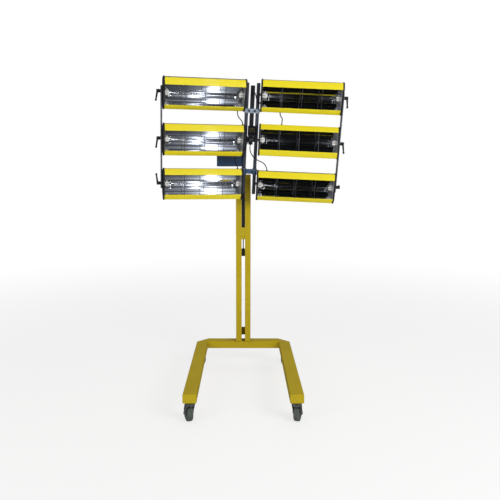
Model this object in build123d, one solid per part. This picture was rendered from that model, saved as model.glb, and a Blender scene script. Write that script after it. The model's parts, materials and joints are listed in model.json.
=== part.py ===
from build123d import *
from math import cos, radians, sin, tan
import os

# Lengths are in millimetres and angles in degrees. While it is modelled, the lamp stands with
# the front faces of its posts at y = 0, the middle of the mast at x = 0 and the floor at z = 0.
# At the end it moves so that the origin is on the floor, in the middle of its bounding box.

# Clearances that several pieces share.
overrun = 1.0
running = 0.05
face_gap = 0.3

# Base: a flat U of rectangular steel tube.
base_half_width = 262.0
leg_reach = 745.0
base_tube_width = 60.0
base_tube_height = 40.0
base_tube_wall = 2.0
base_edge_radius = 3.0
base_underside = 100.0
base_top = base_underside + base_tube_height

# Casters: a stem fixed under the base, a fork that swivels on it and a wheel in the fork.
caster_front_inset = 28.0
caster_rear_inset = 56.0
caster_rear_narrowing = 4.0
caster_pad_radius = 17.0
caster_pad_thickness = 6.0
stem_radius = 6.0
stem_head_radius = 9.5
stem_head_thickness = 3.5
fork_plate_thickness = 4.0
fork_plate_radius = 21.0
fork_cheek_thickness = 3.0
fork_inner_half_width = 16.0
fork_eye_radius = 10.0
fork_lip_height = 9.0
caster_trail = 25.0
wheel_radius = 37.5
wheel_half_width = 13.0
wheel_hub_radius = 11.0
wheel_hub_half_width = 15.6
wheel_rim_radius = 27.0
wheel_web_half_width = 5.0
wheel_edge_radius = 4.0
axle_radius = 4.0
axle_head_radius = 6.5
axle_head_thickness = 3.0
caster_turn_angles = {"front_left": 22.0, "front_right": -18.0, "rear_left": 38.0, "rear_right": -25.0}

# Mast: two rectangular posts with a gap in which the slider runs.
post_width = 31.0
post_depth = 60.0
post_wall = 2.0
post_top = 1075.0
post_gap = 19.0
bridge_thickness = 4.0
bridge_height = 45.0
bridge_drop = 22.0
cap_thickness = 3.0
cap_insert = 12.0
cap_insert_wall = 2.5
cap_edge_radius = 1.2

# Slider, its foot and the gas spring that balances the head.
slider_depth = 40.0
slider_wall = 1.5
slider_bottom = 788.0
slider_show = 210.0
slider_top = post_top + slider_show
slider_lid = 2.0
foot_height = 67.0
foot_inset = 1.0
foot_chamfer = 4.0
foot_spigot = 30.0
spigot_gap = 0.1
spring_tube_radius = 6.5
spring_tube_bore = 5.3
spring_tube_length = 300.0
spring_tube_lift = 3.0
spring_gland = 6.0
spring_eye_length = 26.0
spring_pin_radius = 3.0
spring_pin_drop = 10.0
spring_rod_radius = 3.0
spring_rod_show = 58.0
spring_seat_height = 37.0
spring_seat_depth = 36.0
spring_seat_chamfer = 3.0
spring_piston_length = 10.0
spring_piston_cover = 251.0

# Yoke on the slider, and the tilt knuckle that it holds.
tilt_axis_drop = 18.0
tilt_axis = (38.0, -60.9, slider_top - tilt_axis_drop)
arm_height = 28.0
arm_depth = 26.0
arm_overhang = 2.0
ear_inner = 19.0
ear_thickness = 5.0
ear_radius = 15.0
tilt_bolt_radius = 5.0
bolt_head_radius = 9.0
bolt_head_thickness = 6.0
barrel_radius = 13.0
neck_radius = 11.0
flange_radius = 16.0
flange_thickness = 5.0
roll_shaft_radius = 8.0
roll_nut_radius = 13.0
roll_nut_thickness = 9.0
hub_radius = 16.0
hub_half_length = 15.0

# Head: a square spine above the hub, a cross clamp on it that holds the bank uprights, and a tie
# that keeps their lower ends apart.
head_reach = 59.0
spine_size = 22.0
spine_wall = 2.0
spine_top = 272.0
spine_foot = 8.0
clamp_level = 147.0
tie_level = -165.0
clamp_height = 22.0
clamp_radius = 12.5
hinge_offset = 28.0
channel_level = 48.0
channel_height = 50.0
channel_left = -17.0
channel_right = 26.0
channel_depth = 22.0
channel_wall = 2.0

# Bank frames: a round inner upright and a flat outer bar that three cassettes join.
upright_radius = 9.0
upright_wall = 1.8
upright_half_length = 285.0
set_ring_radius = 11.8
set_ring_height = 5.0
outer_bar_thickness = 8.0
outer_bar_depth = 20.0
outer_bar_half_length = 256.0
bar_gap = 1.5

# Cassettes: the section's points are measured from the tilt axis, y to the back and z up.
row_pitch = 229.0
cassette_start = 13.0
cassette_length = 413.0
end_cap_thickness = 8.0
end_cap_margin = 1.2
end_cap_rim = 5.0
end_cap_panel = 2.4
end_cap_boss = 13.0
end_cap_rib = 4.0
sheet = 1.5
mouth_y = -51.0
mouth_half = 54.0
lip_width = 3.0
shoulder_y = -33.0
shoulder_half = 80.0
heel_y = -14.0
back_y = 34.0
back_half = 52.0
vent_count = 6
vent_length = 44.0
vent_height = 5.0
pivot_radius = 4.0
pivot_shoulder_radius = 7.0
reflector_sheet = 1.0
reflector_mouth_gap = 1.5
reflector_bend_y = -14.0
reflector_bend_half = 39.0
reflector_back_y = 12.0
lamp_y = -17.0
lamp_radius = 6.0
socket_length = 24.0
socket_height = 20.0
socket_depth = 16.0
lamp_pinch_length = 12.0
lamp_pinch_thickness = 4.0
guard_wire_radius = 1.25
guard_wire_count = 3

# Clamp levers on the outer ends of the pivots.
lever_hub_radius = 8.5
lever_hub_length = 20.0
lever_stud = 14.0
lever_arm_length = 42.0
lever_arm_root = 5.0
lever_arm_tip = 3.6
lever_ball_radius = 5.5
lever_splay = 8.0

# Control box, its knob, its rocker switch and its cable gland.
box_left = -144.0
box_lift = 47.0
box_bottom = post_top + box_lift
box_height = 94.0
box_depth = 60.0
box_front = -2.0
box_edge_radius = 4.0
knob_inset = 34.0
knob_radius = 16.0
knob_height = 15.0
knob_grip = 3.0
knob_grip_count = 9
knob_shaft_radius = 3.0
knob_shaft_length = 12.0
switch_inset = 42.0
switch_width = 14.0
switch_height = 24.0
switch_recess = 9.0
switch_gap = 0.4
switch_angle = 9.0
switch_pin_radius = 1.5
switch_pin_depth = 3.0
gland_inset = 25.0
gland_rise = 20.0
gland_radius = 11.0
gland_nut_radius = 9.0
gland_length = 15.0
gland_nut_length = 9.0
gland_bore = 4.5
gland_bore_length = 24.0
gland_sides = 6

# Rest pose: how the lamp stands in the photograph.
head_tilt_angle = 9.8
head_roll_angle = 2.4
bank_swing_angles = {"left": 12.0, "right": 1.3}
cassette_tilt_angles = {
    "left": {"top": 18.0, "middle": 8.0, "bottom": 0.0},
    "right": {"top": 11.0, "middle": -11.0, "bottom": 8.0},
}
lever_turn_angles = {
    "left": {"top": 0.0, "middle": 0.0, "bottom": 180.0},
    "right": {"top": 0.0, "middle": 0.0, "bottom": 80.0},
}

# Leads: a thin flexible cable. Each route is a list of points chosen by hand, x, y and z.
lead_radius = 2.5
lead_exit = 16.0
lead_slack_y = -14.0
lead_bend_share = 0.45
left_jumpers = {"top": (46.0, 24.0), "middle": (52.0, 40.0)}
right_jumpers = {"top": (116.0, 128.0)}
jumper_bulge = 9.0
left_feed = [
    (-8.0, -86.0, 23.0), (-8.0, -86.0, 9.0), (-16.0, -91.0, -12.0), (-26.0, -92.0, -32.0),
]
left_feed_end = (0.0, -9.0, -48.0)
right_feed = [
    (6.0, -86.0, 23.0), (6.0, -86.0, 9.0), (-1.0, -92.0, -17.0), (-3.0, -93.0, -51.0),
    (14.0, -90.0, -82.0), (42.0, -84.0, -103.0), (72.0, -76.0, -113.0),
]
right_feed_reach = 64.0
top_lead = [(0.0, -70.0, 250.0), (0.0, -85.0, 250.0), (13.0, -93.0, 234.0), (20.0, -87.0, 208.0)]
top_lead_end = (13.0, -20.0, -38.0)

sides = {"left": -1, "right": 1}
rows = {"top": 1, "middle": 0, "bottom": -1}


def block(x_from, x_to, y_from, y_to, z_from, z_to):
    """A box between two corners."""
    middle = ((x_from + x_to) / 2, (y_from + y_to) / 2, (z_from + z_to) / 2)
    return Pos(*middle) * Box(x_to - x_from, y_to - y_from, z_to - z_from)


def bar_x(radius, x_from, x_to, y=0, z=0):
    """A round bar along X."""
    return Pos((x_from + x_to) / 2, y, z) * Rot(0, 90, 0) * Cylinder(radius, x_to - x_from)


def bar_y(radius, y_from, y_to, x=0, z=0):
    """A round bar along Y."""
    return Pos(x, (y_from + y_to) / 2, z) * Rot(90, 0, 0) * Cylinder(radius, y_to - y_from)


def bar_z(radius, z_from, z_to, x=0, y=0):
    """A round bar along Z."""
    return Pos(x, y, (z_from + z_to) / 2) * Cylinder(radius, z_to - z_from)


def square_tube(half_x, y_from, y_to, z_from, z_to, wall, x=0):
    """A rectangular tube along Z, open at both ends."""
    outside = block(x - half_x, x + half_x, y_from, y_to, z_from, z_to)
    inside = block(
        x - half_x + wall, x + half_x - wall, y_from + wall, y_to - wall, z_from - overrun, z_to + overrun
    )
    return outside - inside


# Places of the four caster stems.
stem_x = base_half_width - base_tube_width / 2
stem_places = {
    "front_left": (-stem_x, -leg_reach + caster_front_inset),
    "front_right": (stem_x, -leg_reach + caster_front_inset),
    "rear_left": (-stem_x + caster_rear_narrowing, base_tube_width - caster_rear_inset),
    "rear_right": (stem_x - caster_rear_narrowing, base_tube_width - caster_rear_inset),
}
fork_plate_top = base_underside - caster_pad_thickness
fork_plate_bottom = fork_plate_top - fork_plate_thickness


def make_base_frame():
    """The welded U, with a pad and a stem for each caster."""
    inner = base_half_width - base_tube_width
    half = [
        (base_half_width, -leg_reach),
        (base_half_width, 0),
        (inner, base_tube_width),
    ]
    notch = [(inner, -leg_reach), (inner, 0)]
    outline = (
        half + [(-x, y) for x, y in reversed(half)] + [(-x, y) for x, y in notch] + list(reversed(notch))
    )
    plan = make_face(Polyline(*outline, close=True))
    frame = Pos(0, 0, base_underside) * extrude(plan, base_tube_height)
    flat_edges = frame.edges().filter_by(lambda e: abs(e.tangent_at(0).Z) < 0.5)
    frame = fillet(flat_edges, base_edge_radius)
    hollow = offset(plan, amount=-base_tube_wall, kind=Kind.INTERSECTION)
    cavity = extrude(hollow, base_tube_height - 2 * base_tube_wall)
    frame -= Pos(0, 0, base_underside + base_tube_wall) * cavity
    for x, y in stem_places.values():
        frame += bar_z(caster_pad_radius, fork_plate_top, base_underside + base_tube_wall, x, y)
        frame += bar_z(stem_radius, fork_plate_bottom - face_gap, base_underside, x, y)
        head_top = fork_plate_bottom - face_gap
        frame += bar_z(stem_head_radius, head_top - stem_head_thickness, head_top, x, y)
    return frame


def make_caster_fork():
    """The fork at its stem's axis, its wheel behind it: plate, two cheeks and the axle."""
    plate = bar_z(fork_plate_radius, fork_plate_bottom, fork_plate_top - face_gap)
    lip_outer = bar_z(fork_plate_radius, fork_plate_bottom - fork_lip_height, fork_plate_top - face_gap)
    outer = fork_inner_half_width + fork_cheek_thickness
    cheek_line = Polyline(
        (-fork_plate_radius * cos(radians(35)), fork_plate_top - face_gap),
        (fork_plate_radius * cos(radians(35)), fork_plate_top - face_gap),
        (caster_trail + fork_eye_radius, wheel_radius + fork_eye_radius / 2),
        (caster_trail + fork_eye_radius, wheel_radius),
        (caster_trail - fork_eye_radius, wheel_radius),
        close=True,
    )
    cheek_side = make_face(cheek_line)
    profile = Plane.YZ * cheek_side
    cheek = extrude(profile, fork_cheek_thickness)
    cheek += bar_x(fork_eye_radius, 0, fork_cheek_thickness, caster_trail, wheel_radius)
    fork = plate + Pos(fork_inner_half_width, 0, 0) * cheek + Pos(-outer, 0, 0) * cheek
    skirt = lip_outer & block(
        -outer, outer, -fork_plate_radius, 0, fork_plate_bottom - fork_lip_height, fork_plate_top
    )
    skirt -= bar_z(
        fork_plate_radius - fork_cheek_thickness, fork_plate_bottom - fork_lip_height - overrun, fork_plate_top
    )
    fork += skirt
    fork -= bar_z(stem_radius + running, fork_plate_bottom - overrun, fork_plate_top + overrun)
    reach = outer + axle_head_thickness
    fork += bar_x(axle_radius, -outer, outer, caster_trail, wheel_radius)
    for side in (-1, 1):
        fork += bar_x(axle_head_radius, *sorted((side * outer, side * reach)), caster_trail, wheel_radius)
    return fork


def make_caster_wheel():
    """Tyre, web and hub in one turned section, bored for the axle."""
    with BuildSketch(Plane.XZ) as section:
        with BuildLine():
            half = [
                (axle_radius + running, wheel_hub_half_width),
                (wheel_hub_radius, wheel_hub_half_width),
                (wheel_hub_radius, wheel_web_half_width),
                (wheel_rim_radius, wheel_web_half_width),
                (wheel_rim_radius, wheel_half_width),
                (wheel_radius, wheel_half_width),
            ]
            Polyline(*half, *[(r, -w) for r, w in reversed(half)], close=True)
        make_face()
        rim = section.vertices().group_by(Axis.X)[-1]
        fillet(rim, wheel_edge_radius)
    wheel = revolve(section.sketch, Axis.Z)
    return Pos(0, caster_trail, wheel_radius) * Rot(0, 90, 0) * wheel


slider_half = post_gap / 2 - face_gap
slider_y = (post_depth - slider_depth) / 2
mast_y = post_depth / 2


def make_mast_posts():
    """Two posts on the cross tube, tied by a welded plate behind their tops."""
    half = post_gap / 2 + post_width
    centre = post_gap / 2 + post_width / 2
    posts = square_tube(post_width / 2, 0, post_depth, base_top, post_top, post_wall, centre)
    posts += square_tube(post_width / 2, 0, post_depth, base_top, post_top, post_wall, -centre)
    top = post_top - bridge_drop
    low = base_top + bridge_drop
    for level in (top - bridge_height, low):
        posts += block(-half, half, post_depth, post_depth + bridge_thickness, level, level + bridge_height)
    return posts


def make_post_caps():
    """A black plug in the top of each post."""
    caps = []
    for side in (-1, 1):
        x = side * (post_gap / 2 + post_width / 2)
        plate = block(
            x - post_width / 2, x + post_width / 2, 0, post_depth, post_top, post_top + cap_thickness
        )
        plate = fillet(plate.edges().group_by(Axis.Z)[-1], cap_edge_radius)
        reach = post_wall + spigot_gap
        plug = block(
            x - post_width / 2 + reach, x + post_width / 2 - reach, reach, post_depth - reach,
            post_top - cap_insert, post_top,
        )
        thin = reach + cap_insert_wall
        plug -= block(
            x - post_width / 2 + thin, x + post_width / 2 - thin, thin, post_depth - thin,
            post_top - cap_insert - overrun, post_top,
        )
        caps.append(plate + plug)
    return Compound(children=caps)


spring_tube_bottom = slider_bottom - foot_height + spring_tube_lift
spring_tube_top = spring_tube_bottom + spring_tube_length
spring_pin_level = spring_tube_top + spring_eye_length - spring_pin_drop
spring_seat_top = slider_bottom - foot_height - spring_rod_show
spring_seat_bottom = spring_seat_top - spring_seat_height


def make_gas_spring_rod():
    """The fixed end: a seat wedged between the posts, the rod and its piston."""
    seat = block(
        -post_gap / 2, post_gap / 2, mast_y - spring_seat_depth / 2, mast_y + spring_seat_depth / 2,
        spring_seat_bottom, spring_seat_top,
    )
    seat = chamfer(seat.edges().filter_by(Axis.X), spring_seat_chamfer)
    piston_top = spring_tube_bottom + spring_piston_cover
    rod = bar_z(spring_rod_radius, spring_seat_top, piston_top, 0, mast_y)
    piston = bar_z(spring_tube_bore - running, piston_top - spring_piston_length, piston_top, 0, mast_y)
    return seat + rod + piston


def make_gas_spring_cylinder():
    """The tube that rides in the slider, bored for the piston, with an eye at its top."""
    tube = bar_z(spring_tube_radius, spring_tube_bottom, spring_tube_top + spring_eye_length, 0, mast_y)
    tube -= bar_z(
        spring_tube_bore, spring_tube_bottom + spring_gland, spring_tube_top - spring_gland, 0, mast_y
    )
    tube -= bar_z(
        spring_rod_radius + running, spring_tube_bottom - overrun, spring_tube_bottom + spring_gland + overrun,
        0, mast_y,
    )
    tube -= bar_x(
        spring_pin_radius + running, -spring_tube_radius - overrun, spring_tube_radius + overrun,
        mast_y, spring_pin_level,
    )
    return tube


def make_slider_tube():
    """The sliding tube with its lid, the spring's pin and the welded yoke."""
    tube = square_tube(
        slider_half, slider_y, slider_y + slider_depth, slider_bottom, slider_top, slider_wall
    )
    tube += block(
        -slider_half, slider_half, slider_y, slider_y + slider_depth, slider_top - slider_lid, slider_top
    )
    tube += bar_x(spring_pin_radius, -slider_half, slider_half, mast_y, spring_pin_level)
    axis_x, axis_y, axis_z = tilt_axis
    ear_outer = ear_inner + ear_thickness
    arm_front = slider_y - arm_depth
    tube += block(
        -slider_half, axis_x + ear_outer + arm_overhang, arm_front, slider_y,
        axis_z - arm_height / 2, axis_z + arm_height / 2,
    )
    for side in (-1, 1):
        x_from, x_to = sorted((axis_x + side * ear_inner, axis_x + side * ear_outer))
        ear = block(x_from, x_to, axis_y, arm_front, axis_z - arm_height / 2, axis_z + arm_height / 2)
        ear += bar_x(ear_radius, x_from, x_to, axis_y, axis_z)
        tube += ear
    tube -= bar_x(
        tilt_bolt_radius + running, axis_x - ear_outer - overrun, axis_x + ear_outer + overrun, axis_y, axis_z
    )
    return tube


def make_slider_foot():
    """The shoe under the slider: a block that fills the gap, with a spigot up into the tube."""
    foot_bottom = slider_bottom - foot_height
    foot = block(
        -slider_half, slider_half, foot_inset, post_depth - foot_inset, foot_bottom, slider_bottom
    )
    foot = chamfer(foot.edges().filter_by(Axis.X), foot_chamfer)
    inset = slider_wall + spigot_gap
    foot += block(
        -slider_half + inset, slider_half - inset, slider_y + inset, slider_y + slider_depth - inset,
        slider_bottom, slider_bottom + foot_spigot,
    )
    foot -= bar_z(
        spring_tube_radius + running, foot_bottom - overrun, slider_bottom + foot_spigot + overrun, 0, mast_y
    )
    return foot


box_right = -slider_half
box_back = box_front + box_depth
box_top = box_bottom + box_height
knob_x = box_right - knob_inset
knob_z = box_bottom + box_height / 2
switch_x = box_left + switch_inset
switch_axis_y = box_back - switch_recess / 2
gland_x = box_left + gland_inset
gland_z = box_bottom + gland_rise


def make_control_box():
    """The box that holds timer and switch, with a gland in its back for the supply."""
    box = block(box_left, box_right, box_front, box_back, box_bottom, box_top)
    box = fillet(box.edges(), box_edge_radius)
    box -= bar_y(knob_shaft_radius + running, box_back - knob_shaft_length, box_back + overrun, knob_x, knob_z)
    box -= block(
        switch_x - switch_width / 2 - switch_gap, switch_x + switch_width / 2 + switch_gap,
        box_back - switch_recess, box_back + overrun,
        knob_z - switch_height / 2 - switch_gap, knob_z + switch_height / 2 + switch_gap,
    )
    reach = switch_width / 2 + switch_gap + switch_pin_depth
    box -= bar_x(switch_pin_radius + running, switch_x - reach, switch_x + reach, switch_axis_y, knob_z)
    flange = extrude(RegularPolygon(gland_radius, gland_sides), gland_length - gland_nut_length)
    gland = flange + bar_z(gland_nut_radius, 0, gland_length)
    box += Pos(gland_x, box_back, gland_z) * Rot(-90, 0, 0) * gland
    gland_end = box_back + gland_length
    box -= bar_y(gland_bore, gland_end - gland_bore_length, gland_end + overrun, gland_x, gland_z)
    return box


def make_timer_knob():
    """A grooved knob on its shaft, with a raised pointer."""
    knob = bar_y(knob_radius, box_back + face_gap, box_back + face_gap + knob_height, knob_x, knob_z)
    for count in range(knob_grip_count):
        angle = radians(count * 360 / knob_grip_count)
        knob -= bar_y(
            knob_grip, box_back + face_gap + knob_grip, box_back + face_gap + knob_height + overrun,
            knob_x + (knob_radius + knob_grip / 2) * cos(angle),
            knob_z + (knob_radius + knob_grip / 2) * sin(angle),
        )
    knob += bar_y(
        knob_shaft_radius, box_back - knob_shaft_length + face_gap, box_back + knob_height, knob_x, knob_z
    )
    return knob


def make_power_switch():
    """A rocker on two short pins, tilted to its off side."""
    half = switch_height / 2
    rise = half * sin(radians(switch_angle))
    face = switch_recess / 2
    with BuildSketch(Plane.YZ) as side:
        with BuildLine():
            Polyline(
                (-switch_pin_radius * 2, 0),
                (-switch_pin_radius, half - switch_gap - rise),
                (face, half - switch_gap - rise),
                (face - rise / 2, 0),
                (face, -half + switch_gap + rise),
                (-switch_pin_radius, -half + switch_gap + rise),
                close=True,
            )
        make_face()
    rocker = extrude(side.sketch, switch_width / 2, both=True)
    reach = switch_width / 2 + switch_pin_depth
    rocker += bar_x(switch_pin_radius, -reach, reach)
    return Pos(switch_x, switch_axis_y, knob_z) * Rot(switch_angle, 0, 0) * rocker


# Places that carry the head: each is measured in the one before it.
knuckle_place = Pos(*tilt_axis) * Rot(head_tilt_angle, 0, 0)
head_place = knuckle_place * Rot(0, head_roll_angle, 0)


def bank_place(side):
    """Where a bank hangs: its hinge axis, swung forwards by the bank's rest angle."""
    sign = sides[side]
    return head_place * Pos(sign * hinge_offset, -head_reach, 0) * Rot(0, 0, -sign * bank_swing_angles[side])


def cassette_place(side, row):
    """Where a cassette hangs: its tilt axis, turned by the cassette's rest angle."""
    return bank_place(side) * Pos(0, 0, rows[row] * row_pitch) * Rot(cassette_tilt_angles[side][row], 0, 0)


def on_side(shape, side):
    """The shape as drawn on the right, or its mirror image on the left."""
    return shape if side == "right" else mirror(shape, about=Plane.YZ)


hub_back = -head_reach + hub_half_length
hub_front = -head_reach - hub_half_length


def make_tilt_knuckle():
    """A barrel on the tilt bolt, and the roll shaft that carries the spine."""
    ear_outer = ear_inner + ear_thickness
    bolt_end = ear_outer + face_gap + bolt_head_thickness
    knuckle = bar_x(barrel_radius, -ear_inner + face_gap, ear_inner - face_gap)
    knuckle += bar_x(tilt_bolt_radius, -bolt_end, bolt_end)
    for side in (-1, 1):
        x_from, x_to = sorted((side * (ear_outer + face_gap), side * bolt_end))
        knuckle += bar_x(bolt_head_radius, x_from, x_to)
    flange_back = hub_back + face_gap + flange_thickness
    knuckle += bar_y(neck_radius, flange_back, 0)
    knuckle += bar_y(flange_radius, hub_back + face_gap, flange_back)
    knuckle += bar_y(roll_shaft_radius, hub_front - face_gap, flange_back)
    nut_front = hub_front - face_gap - roll_nut_thickness
    knuckle += bar_y(roll_nut_radius, nut_front, hub_front - face_gap)
    return knuckle


def make_head_spine():
    """The spine with its hub, the clamp, the terminal channel and the tie at the uprights' lower ends."""
    half = spine_size / 2
    spine = square_tube(
        half, -head_reach - half, -head_reach + half, -hub_radius - spine_foot, spine_top, spine_wall
    )
    for level in (tie_level, clamp_level):
        low, high = level - clamp_height / 2, level + clamp_height / 2
        spine += block(
            -hinge_offset, hinge_offset, -head_reach - clamp_radius, -head_reach + clamp_radius, low, high
        )
        for sign in sides.values():
            spine += bar_z(clamp_radius, low, high, sign * hinge_offset, -head_reach)
            spine -= bar_z(
                upright_radius + running, low - overrun, high + overrun, sign * hinge_offset, -head_reach
            )
    front = -head_reach - half - channel_depth
    low, high = channel_level - channel_height / 2, channel_level + channel_height / 2
    channel = block(channel_left, channel_right, front, -head_reach - half, low, high)
    channel -= block(
        channel_left + channel_wall, channel_right - channel_wall, front - overrun,
        -head_reach - half - channel_wall, low + channel_wall, high - channel_wall,
    )
    spine += channel
    spine += bar_y(hub_radius, hub_front, hub_back)
    spine -= bar_y(roll_shaft_radius + running, hub_front - overrun, hub_back + overrun)
    return spine


pivot_end = cassette_start + cassette_length
bar_inner = pivot_end + bar_gap
bar_outer = bar_inner + outer_bar_thickness


def make_bank_frame():
    """The round upright with its set rings, and the flat outer bar, bored for three pivots."""
    upright = bar_z(upright_radius, -upright_half_length, upright_half_length)
    for sign in (-1, 1):
        level = tie_level + sign * (clamp_height / 2 + face_gap + set_ring_height / 2)
        upright += bar_z(set_ring_radius, level - set_ring_height / 2, level + set_ring_height / 2)
    bore = upright_radius - upright_wall
    upright -= bar_z(bore, -upright_half_length - overrun, upright_half_length + overrun)
    half = outer_bar_depth / 2
    outer = block(bar_inner, bar_outer, -half, half, -outer_bar_half_length, outer_bar_half_length)
    outer = fillet(outer.edges().filter_by(Axis.X), half - overrun)
    for step in rows.values():
        level = step * row_pitch
        hole = pivot_radius + running
        upright -= bar_x(hole, -set_ring_radius, set_ring_radius, 0, level)
        outer -= bar_x(hole, bar_inner - overrun, bar_outer + overrun, 0, level)
    return Compound(children=[upright, outer])


def cassette_outline():
    """The housing's section as a face: mouth in front, wide shoulders, narrower back."""
    half = [
        (mouth_y, mouth_half),
        (shoulder_y, shoulder_half),
        (heel_y, shoulder_half),
        (back_y, back_half),
    ]
    return make_face(Polyline(*half, *[(y, -z) for y, z in reversed(half)], close=True))


def make_housing():
    """The folded yellow casing, open at the mouth, with a row of vents in its back."""
    outline = cassette_outline()
    wall = outline - offset(outline, amount=-sheet, kind=Kind.INTERSECTION)
    mouth = mouth_half - lip_width
    wall -= Pos(mouth_y, 0) * Rectangle(sheet * 4, mouth * 2)
    first = cassette_start + end_cap_thickness
    length = cassette_length - end_cap_thickness * 2
    casing = extrude(Plane.YZ.offset(first) * wall, length)
    pitch = length / vent_count
    for count in range(vent_count):
        middle = first + pitch * (count + 1 / 2)
        casing -= block(
            middle - vent_length / 2, middle + vent_length / 2, back_y - sheet * 2, back_y + overrun,
            -vent_height / 2, vent_height / 2,
        )
    return casing


def cap_panel():
    """What is cut from a cap's outer face: a panel inside the rim, less a boss and two ribs."""
    panel = offset(cassette_outline(), amount=end_cap_margin - end_cap_rim, kind=Kind.INTERSECTION)
    panel -= Circle(end_cap_boss)
    panel -= Rectangle(end_cap_rib, shoulder_half * 2)
    return Plane.YZ * panel


def make_end_caps():
    """Two moulded caps, each with the shouldered steel pin that turns in the bank frame."""
    outline = offset(cassette_outline(), amount=end_cap_margin, kind=Kind.INTERSECTION)
    cap = extrude(Plane.YZ * outline, end_cap_thickness)
    cap = fillet(cap.edges().filter_by(Axis.X), end_cap_margin * 2)
    cap -= bar_x(pivot_radius + running, -overrun, end_cap_thickness + overrun)
    panel = extrude(cap_panel(), end_cap_panel)
    inner_cap = Pos(cassette_start, 0, 0) * (cap - panel)
    inner_pin = bar_x(pivot_radius, -upright_radius + face_gap, cassette_start + end_cap_thickness)
    inner_pin += bar_x(pivot_shoulder_radius, upright_radius + face_gap, cassette_start)
    sunk = Pos(end_cap_thickness - end_cap_panel, 0, 0) * panel
    far_start = pivot_end - end_cap_thickness
    outer_cap = Pos(far_start, 0, 0) * (cap - sunk)
    outer_pin = bar_x(pivot_radius, far_start, bar_outer + face_gap + lever_stud)
    outer_pin += bar_x(pivot_shoulder_radius, pivot_end, bar_inner - face_gap)
    return Compound(children=[inner_cap, inner_pin, outer_cap, outer_pin])


def make_reflector():
    """A thin polished trough behind the lamp, its edges against the back of the lips."""
    front = mouth_y + sheet
    edge = mouth_half - reflector_mouth_gap
    with BuildSketch() as section:
        with BuildLine():
            Polyline(
                (reflector_bend_y, reflector_bend_half), (front, edge), (front, -edge),
                (reflector_bend_y, -reflector_bend_half),
            )
            ThreePointArc(
                (reflector_bend_y, -reflector_bend_half), (reflector_back_y, 0),
                (reflector_bend_y, reflector_bend_half),
            )
        make_face()
    shell = section.sketch - offset(section.sketch, amount=-reflector_sheet, kind=Kind.INTERSECTION)
    shell -= Pos(front, 0) * Rectangle(reflector_sheet * 4, (edge - reflector_sheet) * 2)
    first = cassette_start + end_cap_thickness
    length = cassette_length - end_cap_thickness * 2
    return extrude(Plane.YZ.offset(first) * shell, length)


def make_emitter():
    """The quartz lamp with its flat pinched ends in two ceramic sockets."""
    first = cassette_start + end_cap_thickness
    last = pivot_end - end_cap_thickness
    half_depth, half_height = socket_depth / 2, socket_height / 2
    lamp = None
    for start, end, inward in ((first, first + socket_length, 1), (last - socket_length, last, -1)):
        socket = block(start, end, lamp_y - half_depth, lamp_y + half_depth, -half_height, half_height)
        face = end if inward == 1 else start
        pinch = block(
            *sorted((face, face + inward * lamp_pinch_length)), lamp_y - lamp_pinch_thickness / 2,
            lamp_y + lamp_pinch_thickness / 2, -lamp_radius, lamp_radius,
        )
        lamp = socket + pinch if lamp is None else lamp + socket + pinch
    reach = socket_length + lamp_pinch_length - overrun
    return lamp + bar_x(lamp_radius, first + reach, last - reach, lamp_y)


def make_guard():
    """Upright wires across the mouth, fixed to its two lips."""
    first = cassette_start + end_cap_thickness
    pitch = (cassette_length - end_cap_thickness * 2) / (guard_wire_count + 1)
    y = mouth_y - guard_wire_radius
    reach = mouth_half - guard_wire_radius
    return Compound(
        children=[
            bar_z(guard_wire_radius, -reach, reach, first + pitch * (count + 1), y)
            for count in range(guard_wire_count)
        ]
    )


def make_clamp_lever():
    """A hub on the pivot's stud and an arm that hangs from it, a little splayed."""
    hub_from = bar_outer + face_gap
    hub_to = hub_from + lever_hub_length
    hub = bar_x(lever_hub_radius, hub_from, hub_to)
    hub = fillet(hub.edges().sort_by(Axis.X)[-1], lever_arm_tip / 2)
    hub -= bar_x(pivot_radius + running, hub_from - overrun, hub_from + lever_stud + face_gap)
    arm = Pos(0, 0, -lever_arm_length / 2) * Cone(lever_arm_tip, lever_arm_root, lever_arm_length)
    arm += Pos(0, 0, -lever_arm_length) * Sphere(lever_ball_radius)
    root = hub_to - lever_arm_root
    return hub + (Pos(root, 0, 0) * Rot(0, -lever_splay, 0) * (Pos(0, 0, -lever_hub_radius / 2) * arm))


def posed_lever(side, row):
    """A lever on its stud, turned by its rest angle."""
    place = cassette_place(side, row) * Rot(lever_turn_angles[side][row], 0, 0)
    return place * on_side(make_clamp_lever(), side)


lead_seat = (shoulder_y + heel_y) / 2


def point_on(place, x, y, z):
    """A point given in a place's own frame."""
    return (place * Pos(x, y, z)).position


def make_lead(route):
    """A round cable along straight runs joined by arcs as large as the runs allow."""
    radii = []
    for before, corner, after in zip(route, route[1:], route[2:]):
        turn = radians((corner - before).get_angle(after - corner))
        shorter = min((corner - before).length, (after - corner).length)
        radii.append(lead_bend_share * shorter / tan(turn / 2))
    path = FilletPolyline(*route, radius=radii)
    section = Plane(origin=route[0], z_dir=route[1] - route[0]) * Circle(lead_radius)
    cable = sweep(section, path=path)
    by_length = section.area * path.length
    print("lead", round(path.length, 1), "radii", [round(r, 1) for r in radii],
          "volume share", round(cable.volume / by_length, 4))
    return cable


def jumper_route(side, upper, reach_up, reach_down):
    """From the underside of one cassette to the top of the next."""
    sign = sides[side]
    lower = "middle" if upper == "top" else "bottom"
    high, low = cassette_place(side, upper), cassette_place(side, lower)
    middle = (
        sign * ((reach_up + reach_down) / 2 + jumper_bulge), lead_slack_y, (rows[upper] - 1 / 2) * row_pitch
    )
    return [
        point_on(high, sign * reach_up, lead_seat, -shoulder_half),
        point_on(high, sign * reach_up, lead_seat, -shoulder_half - lead_exit),
        point_on(bank_place(side), *middle),
        point_on(low, sign * reach_down, lead_seat, shoulder_half + lead_exit),
        point_on(low, sign * reach_down, lead_seat, shoulder_half),
    ]


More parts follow.
